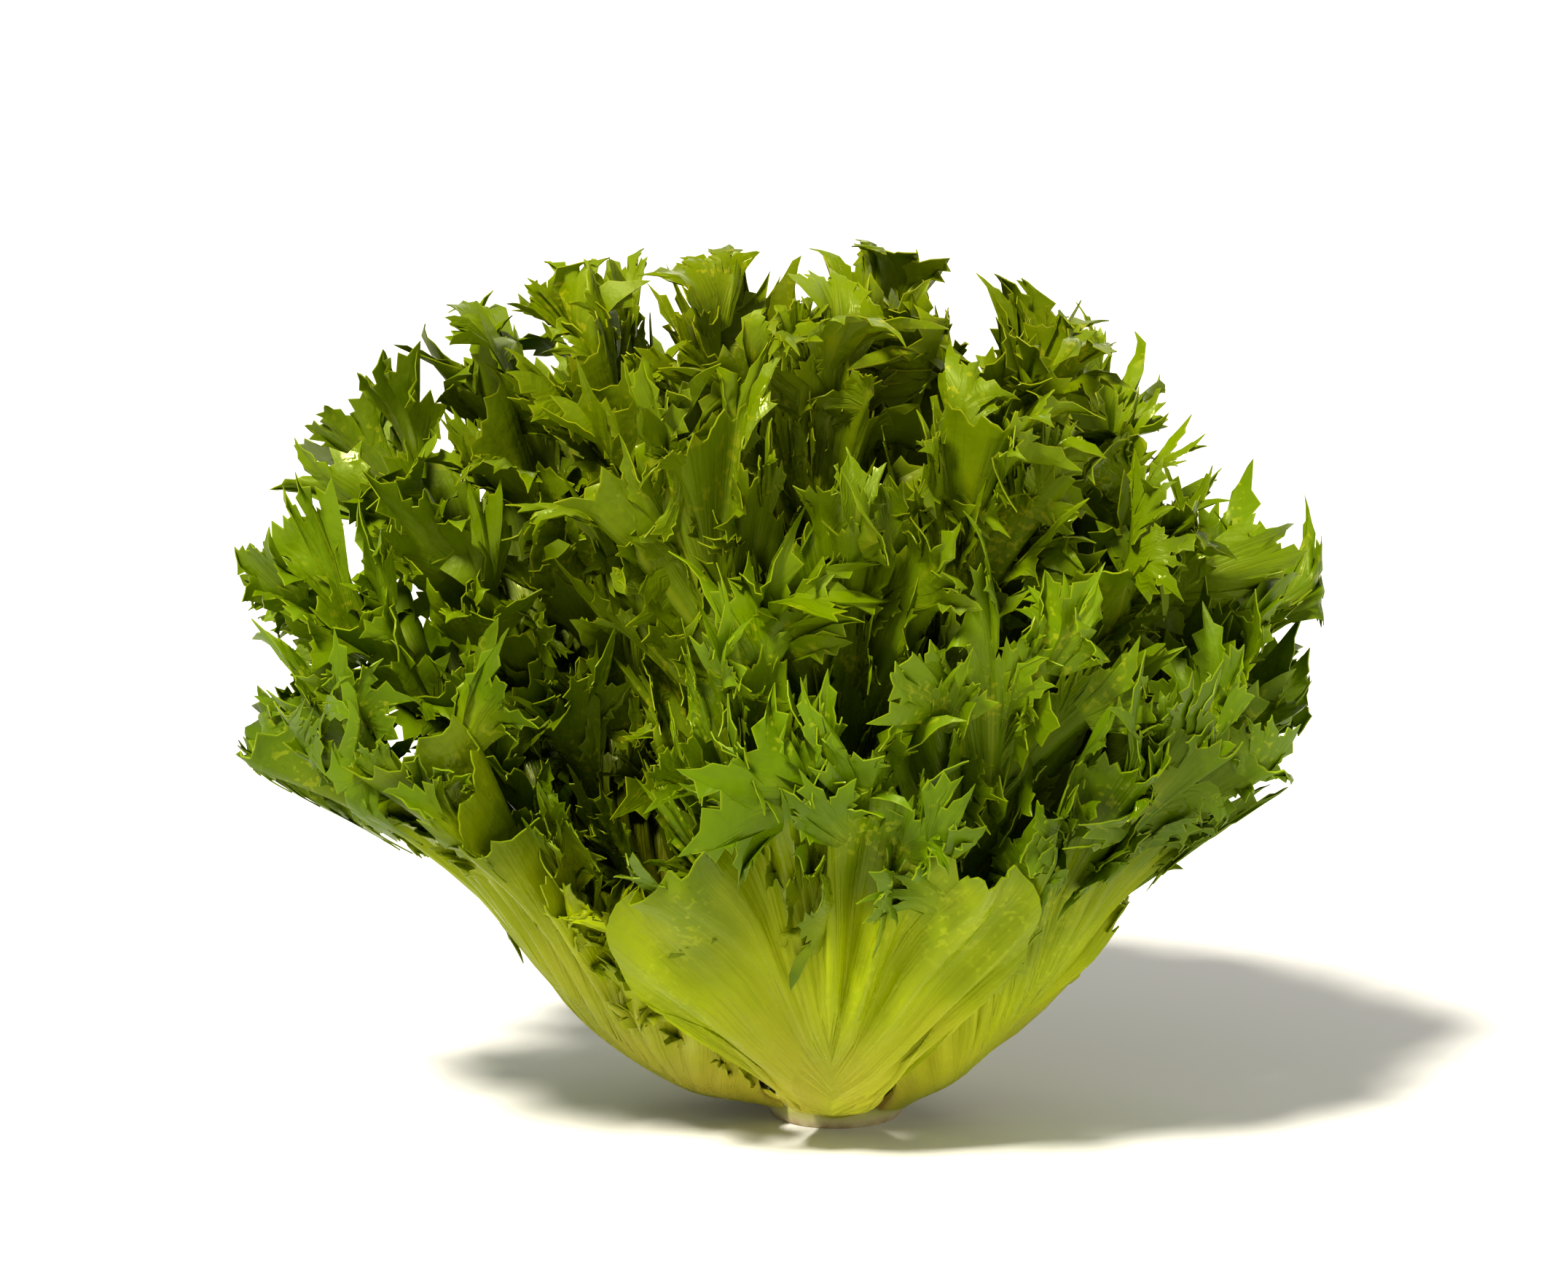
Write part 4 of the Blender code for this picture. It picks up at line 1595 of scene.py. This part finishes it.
@dataclass(frozen=True)
class LeafFinish:
    """Crisp, moist endive leaf: pale fleshy foot, green blade, lighter cut edge and fine veins.

    It reads the marks that a leaf keeps on its points: along and youth as shares, rib as the rib's share
    of its depth, and edge_gap, edge_run and rib_gap in millimetres.
    """

    name: str
    foot: Triple = (0.43, 0.38, 0.028)
    base: Triple = (0.30, 0.36, 0.0)
    # Partly painted light and shade: the tip colour, seen mostly high in the head, is lightened and the
    # blade colour, seen lower down, is darkened, as light from above falls; the tips are also lighter
    # yellow-green of their own.
    blade: Triple = (0.082, 0.146, 0.0)
    tip: Triple = (0.110, 0.192, 0.0)
    rib: Triple = (0.36, 0.41, 0.01)
    edge: Triple = (0.23, 0.31, 0.005)
    worn: Triple = (0.27, 0.15, 0.04)
    sheen: Triple = (0.90, 1.0, 0.35)
    glow: Triple = (1.15, 1.45, 0.5)
    # Where along the leaf the foot, base, blade and tip have their full colour, and how much a young
    # leaf's runs ahead of that.
    places: tuple[float, float, float, float] = (0.03, 0.28, 0.52, 0.95)
    youth_shift: float = 0.30
    vein_shade: float = 0.42
    vein_run: float = 0.045
    gloss: float = 0.27
    translucency: float = 0.22

    def build(self) -> bpy.types.Material:
        """Wires the finish.

        Returns:
            The material.
        """
        tree = NodeTree(self.name)
        place = tree.add("TexCoord").outputs["Object"]
        names = ("along", "edge_gap", "rib", "edge_run", "rib_gap", "youth")
        marks = {name: tree.number(name) for name in names}
        patches = tree.noise(place, 38.0, 3.0)
        colour = self.greened(tree, marks, patches)
        colour, streak = self.veined(tree, marks, colour)
        colour = self.blistered(tree, marks, place, colour)
        colour = self.browned(tree, marks, place, patches, colour)
        colour = self.mottled(tree, marks, place, colour)
        self.skin(tree, place, streak, colour)
        return tree.material

    def greened(self, tree: NodeTree, marks: Marks, patches: Socket) -> Socket:
        """Colours the leaf from its pale foot to its green tip, unevenly, with a pale rib; the lighter tip
        and darker blade are partly painted light and shade from above.

        Args:
            tree: The finish's nodes.
            marks: The leaf's marks.
            patches: A soft noise in broad patches.

        Returns:
            The colour.
        """
        shifted = tree.maths("ADD", marks["along"], tree.step(patches, 0.25, 0.75, (-0.07, 0.07)))
        shifted = tree.maths("MULTIPLY_ADD", marks["youth"], self.youth_shift, shifted)
        colours = self.foot, self.base, self.blade, self.tip
        colour = tree.ramp(shifted, tuple(zip(self.places, colours)))
        return tree.mix(tree.step(marks["rib"], 0.45, 1.0, (0.0, 0.6)), colour, self.rib)

    def veined(self, tree: NodeTree, marks: Marks, colour: Socket) -> tuple[Socket, Socket]:
        """Draws dark and pale veins from the rib to the edge, and a light line along the cut edge.

        Args:
            tree: The finish's nodes.
            marks: The leaf's marks.
            colour: The colour so far.

        Returns:
            The colour, and the streaks that also raise the veins.
        """
        inward = tree.times(marks["rib_gap"], self.vein_run)
        veins = tree.add("CombineXYZ", {"X": marks["edge_run"], "Y": inward}).outputs[0]
        streak = tree.noise(veins, 0.85, 2.0)
        dark = tree.step(streak, 0.54, 0.70, (0.0, 0.14))
        colour = tree.mix(dark, colour, tuple(self.vein_shade * c for c in self.blade))
        pale = tree.step(tree.noise(veins, 0.16, 1.0), 0.50, 0.75, (0.0, 0.26))
        colour = tree.mix(tree.times(pale, tree.step(marks["edge_gap"], 4.0, 18.0)), colour, self.rib)
        near_edge = tree.step(marks["edge_gap"], 0.50, 0.0, (0.0, 0.60))
        line = tree.times(near_edge, tree.step(marks["along"], 0.1, 0.4))
        return tree.mix(line, colour, self.edge), streak

    def blistered(self, tree: NodeTree, marks: Marks, place: Socket, colour: Socket) -> Socket:
        """Dots some patches of the blade with pale blisters.

        Args:
            tree: The finish's nodes.
            marks: The leaf's marks.
            place: Where on the leaf.
            colour: The colour so far.

        Returns:
            The colour.
        """
        patch = tree.step(tree.noise(place, 34.0, 1.0), 0.50, 0.62)
        patch = tree.times(patch, tree.step(marks["edge_gap"], 2.0, 7.0))
        blister = tree.step(tree.noise(place, 520.0, 1.0), 0.55, 0.64, (0.0, 0.40))
        return tree.mix(tree.times(patch, blister), colour, self.rib)

    def browned(
        self, tree: NodeTree, marks: Marks, place: Socket, patches: Socket, colour: Socket
    ) -> Socket:
        """Browns the lowest edges in patches, where the head was cut and has lain.

        Args:
            tree: The finish's nodes.
            marks: The leaf's marks.
            place: Where on the leaf.
            patches: A soft noise in broad patches.
            colour: The colour so far.

        Returns:
            The colour.
        """
        height = tree.add("SeparateXYZ", {"Vector": place}).outputs[2]
        worn = tree.times(tree.step(height, 0.018, 0.004), tree.step(marks["edge_gap"], 2.6, 0.2))
        worn = tree.times(worn, tree.step(patches, 0.42, 0.56, (0.0, 0.75)))
        return tree.mix(worn, colour, self.worn)

    def mottled(self, tree: NodeTree, marks: Marks, place: Socket, colour: Socket) -> Socket:
        """Makes the colour lighter and darker from place to place, and yellower in young leaves.

        Args:
            tree: The finish's nodes.
            marks: The leaf's marks.
            place: Where on the leaf.
            colour: The colour so far.

        Returns:
            The colour.
        """
        bright = tree.step(tree.noise(place, 16.0, 2.0), 0.3, 0.7, (0.78, 1.25))
        young = tree.add("MapRange", {"Value": marks["youth"], "To Min": 1.0, "To Max": 1.35})
        red = tree.times(bright, young.outputs["Result"])
        parts = {"Red": red, "Green": bright, "Blue": bright}
        return tree.mix(1.0, colour, tree.add("CombineColor", parts).outputs[0], "MULTIPLY")

    def skin(self, tree: NodeTree, place: Socket, streak: Socket, colour: Socket) -> None:
        """Gives the leaf its wet and dull skin, raised veins and blisters, and light through the blade.

        Args:
            tree: The finish's nodes.
            place: Where on the leaf.
            streak: The streaks that raise the veins.
            colour: The finished colour.
        """
        wet = tree.step(tree.noise(place, 95.0, 2.0), 0.34, 0.50, (0.10, 0.46))
        blisters = tree.noise(place, 330.0, 2.0)
        relief = tree.maths("ADD", tree.times(blisters, 0.5), tree.times(streak, 0.8))
        bump = tree.add("Bump", {"Height": relief, "Strength": 0.55, "Distance": 0.0009})
        skin = tree.add("BsdfPrincipled", {
            "Base Color": colour, "Roughness": wet, "Normal": bump.outputs[0],
            "Specular IOR Level": self.gloss, "Specular Tint": (*self.sheen, 1.0),
        })
        glow = tree.mix(1.0, colour, self.glow, "MULTIPLY")
        through = tree.add("BsdfTranslucent", {"Color": glow, "Normal": bump.outputs[0]})
        both = tree.add("MixShader", {0: self.translucency, 1: skin.outputs[0], 2: through.outputs[0]})
        tree.add("OutputMaterial", {"Surface": both.outputs[0]})


@dataclass(frozen=True)
class StemFinish:
    """Pale cut stem: cream flesh in rings with a little browning at the rim of the cut."""

    cream: Triple = (0.60, 0.55, 0.30)
    green: Triple = (0.42, 0.43, 0.10)
    brown: Triple = (0.30, 0.17, 0.06)

    def build(self) -> bpy.types.Material:
        """Wires the finish.

        Returns:
            The material.
        """
        tree = NodeTree("cut_stem")
        place = tree.add("TexCoord").outputs["Object"]
        split = tree.add("SeparateXYZ", {"Vector": place})
        flat = tree.add("CombineXYZ", {"X": split.outputs[0], "Y": split.outputs[1]}).outputs[0]
        radius = tree.add("VectorMath", {0: flat}, operation="LENGTH").outputs["Value"]
        height = split.outputs[2]
        colour = tree.mix(tree.step(height, 0.0006, 0.0040), self.cream, self.green)
        spots = tree.noise(place, 260.0, 3.0)
        rim = tree.times(tree.step(radius, 0.0125, 0.0165), tree.step(spots, 0.35, 0.65, (0.15, 0.8)))
        colour = tree.mix(tree.times(rim, tree.step(height, 0.003, 0.0)), colour, self.brown)
        bundles = tree.add("TexVoronoi", {"Vector": place, "Scale": 420.0}, feature="F1")
        bundles = bundles.outputs["Distance"]
        ring = tree.times(tree.step(radius, 0.007, 0.009), tree.step(radius, 0.0135, 0.012))
        dots = tree.times(ring, tree.step(bundles, 0.32, 0.18, (0.0, 0.6)))
        colour = tree.mix(dots, colour, self.green)
        relief = tree.maths("ADD", spots, tree.times(bundles, 0.6))
        bump = tree.add("Bump", {"Height": relief, "Strength": 0.4, "Distance": 0.0006})
        wet = tree.step(spots, 0.3, 0.7, (0.38, 0.6))
        inputs = {"Base Color": colour, "Roughness": wet, "Normal": bump.outputs[0]}
        skin = tree.add("BsdfPrincipled", inputs)
        tree.add("OutputMaterial", {"Surface": skin.outputs[0]})
        return tree.material


@dataclass(frozen=True)
class FloorFinish:
    """Pale, faintly mottled studio floor."""

    pale: Triple = (0.86, 0.86, 0.85)

    def build(self) -> bpy.types.Material:
        """Wires the finish.

        Returns:
            The material.
        """
        tree = NodeTree("pale_floor")
        place = tree.add("TexCoord").outputs["Object"]
        shade = tree.step(tree.noise(place, 3.0, 2.0), 0.3, 0.7, (0.97, 1.0))
        grey = tree.add("CombineColor", {"Red": shade, "Green": shade, "Blue": shade}).outputs[0]
        colour = tree.mix(1.0, self.pale, grey, "MULTIPLY")
        paint = tree.add("BsdfPrincipled", {"Base Color": colour, "Roughness": 0.8})
        tree.add("OutputMaterial", {"Surface": paint.outputs[0]})
        return tree.material


@dataclass
class CutStem:
    """The short stem: a flat cut face, a neck and a cone that the leaf feet stand round."""

    sides: int = 96
    face_radius: float = 0.0158
    neck: Pair = (0.0171, 0.0036)
    cone_foot: Pair = (0.0171, 0.0048)
    cone_tip: Pair = (0.0036, 0.0323)
    chamfer: float = 0.0007
    # The cone's rounded tip, and the dished middle of the cut.
    tip_inset: float = 0.0012
    tip_rise: float = 0.0006
    cut_inset: float = 0.0016
    dish: float = 0.0004
    crease: float = 35.0

    def build(self) -> Thing:
        """Draws the stem up from its cut face ring by ring, and sinks the middle of the cut a little.

        Returns:
            The finished stem, at the origin.
        """
        turned_off()
        bpy.ops.mesh.primitive_circle_add(vertices=self.sides, radius=self.face_radius, fill_type="NGON")
        stem = bpy.context.object
        stem.name = stem.data.name = "stem_fine"
        bpy.ops.object.mode_set(mode="EDIT")
        bpy.ops.mesh.select_all(action="SELECT")
        radius, height = self.face_radius, 0.0
        rings = ((self.face_radius + self.chamfer, self.chamfer), self.neck, self.cone_foot, self.cone_tip)
        for next_radius, next_height in rings:
            bpy.ops.mesh.extrude_region_move(TRANSFORM_OT_translate={"value": (0, 0, next_height - height)})
            share = next_radius / radius
            bpy.ops.transform.resize(value=(share, share, 1.0))
            radius, height = next_radius, next_height
        bpy.ops.mesh.inset(thickness=self.tip_inset, depth=self.tip_rise)
        bpy.ops.mesh.poke()
        bpy.ops.object.mode_set(mode="OBJECT")
        self.finish_cut()
        return stem

    def finish_cut(self) -> None:
        """Closes the cut face of the active stem, sinks its middle and smooths the whole."""
        bpy.ops.object.mode_set(mode="EDIT")
        bpy.ops.mesh.select_all(action="DESELECT")
        bpy.ops.mesh.select_non_manifold()
        bpy.ops.mesh.edge_face_add()
        bpy.ops.mesh.inset(thickness=self.cut_inset)
        bpy.ops.transform.translate(value=(0, 0, self.dish))
        bpy.ops.mesh.poke()
        bpy.ops.mesh.select_all(action="SELECT")
        bpy.ops.mesh.remove_doubles(threshold=0.1 * MEETING)
        bpy.ops.mesh.normals_make_consistent(inside=False)
        bpy.ops.object.mode_set(mode="OBJECT")
        bpy.ops.object.shade_smooth_by_angle(angle=math.radians(self.crease))


@dataclass
class Head:
    """The whole head: the stem and its seven whorls of leaves."""

    whorls: tuple[Whorl, ...] = WHORLS

    def build(self) -> None:
        """Builds and dresses every piece, and lets it stand for its node."""
        self.dress(CutStem().build(), "stem", Slot.STEM, StemFinish().build())
        finish = LeafFinish("endive_leaf").build()
        places = [(whorl, number) for whorl in self.whorls for number in range(1, len(whorl.leaves) + 1)]
        for seed, (whorl, number) in enumerate(places, start=1):
            leaf = EndiveLeaf(whorl, number, seed)
            self.dress(leaf.build(), leaf.name, whorl.slot, finish)

    @staticmethod
    def dress(piece: Thing, node: str, slot: Slot, finish: bpy.types.Material) -> None:
        """Gives a piece its finish and its place in the part.

        Args:
            piece: The finished piece.
            node: The CAD node that it stands for.
            slot: The record's slot for the piece; not used.
            finish: Its material.
        """
        piece.data.materials.clear()
        piece.data.materials.append(finish)
        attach(piece, "root")
        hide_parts(node)
        triangles = sum(len(polygon.vertices) - 2 for polygon in piece.data.polygons)
        LOG.info("%s stands for %s with %d triangles", piece.name, node, triangles)


@dataclass
class Studio:
    """A pale floor, soft light and the camera. Metres, degrees, and watts, for the sun by square metre."""

    floor_size: float = 90.0
    target: Triple = (-0.013, 0.0, 0.122)
    elevation: float = 9.5
    distance: float = 1.15
    view_width: float = 0.387
    sensor: float = 36.0
    warmth: Triple = (1.0, 0.94, 0.80)
    daylight: float = 0.29
    sun_place: Triple = (-0.45, -0.56, 1.10)
    sun_strength: float = 6.9
    sun_angle: float = 12.0
    # Name, place, size and power of each lamp beside the sun.
    lamps: tuple[tuple[str, Triple, float, float], ...] = (
        ("fill", (0.85, -0.55, 0.35), 0.60, 2.0),
        ("back", (0.25, 0.80, 0.80), 0.60, 3.0),
    )

    def build(self) -> None:
        """Builds the floor, the lights and the camera."""
        turned_off()
        bpy.ops.mesh.primitive_plane_add(size=self.floor_size)
        floor = bpy.context.object
        floor.name = "studio_floor"
        floor.data.materials.append(FloorFinish().build())
        self.sun()
        for name, place, size, power in self.lamps:
            self.lamp(name, place, size, power)
        self.surroundings()
        self.camera()

    def aim(self, thing: Thing) -> None:
        """Turns a light or the camera to face the head."""
        way = Vector(self.target) - thing.location
        thing.rotation_euler = way.to_track_quat("-Z", "Y").to_euler()

    def lamp(self, name: str, place: Triple, size: float, power: float) -> None:
        """Adds one soft light.

        Args:
            name: Its name.
            place: Where it stands.
            size: The length of its sides.
            power: Its power.
        """
        bpy.ops.object.light_add(type="AREA", location=place)
        lamp = bpy.context.object
        lamp.name, lamp.data.size, lamp.data.energy = name, size, power
        lamp.data.color = self.warmth
        self.aim(lamp)

    def sun(self) -> None:
        """Adds the main light, broad enough for soft shadows, from the upper left."""
        bpy.ops.object.light_add(type="SUN", location=self.sun_place)
        sun = bpy.context.object
        sun.name, sun.data.energy, sun.data.angle = "key", self.sun_strength, math.radians(self.sun_angle)
        sun.data.color = self.warmth
        self.aim(sun)

    def surroundings(self) -> None:
        """Even pale light from all round."""
        scene = bpy.context.scene
        world = bpy.data.worlds.new("surroundings")
        world.use_nodes = True
        background = world.node_tree.nodes["Background"]
        background.inputs["Color"].default_value = (1.0, 1.0, 1.0, 1.0)
        background.inputs["Strength"].default_value = self.daylight
        scene.world = world
        scene.view_settings.view_transform = "Standard"

    def camera(self) -> None:
        """Sets the camera at its angle and distance."""
        rise = math.radians(self.elevation)
        away = Vector((0.0, -math.cos(rise), math.sin(rise))) * self.distance
        bpy.ops.object.camera_add(location=Vector(self.target) + away)
        camera = bpy.context.object
        self.aim(camera)
        camera.data.sensor_width = self.sensor
        camera.data.lens = self.sensor * self.distance / self.view_width
        bpy.context.scene.camera = camera


def main() -> None:
    """Builds the head and its studio."""
    logging.basicConfig(level=logging.INFO)
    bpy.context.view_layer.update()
    Head().build()
    Studio().build()


if __name__ == "__main__":
    main()
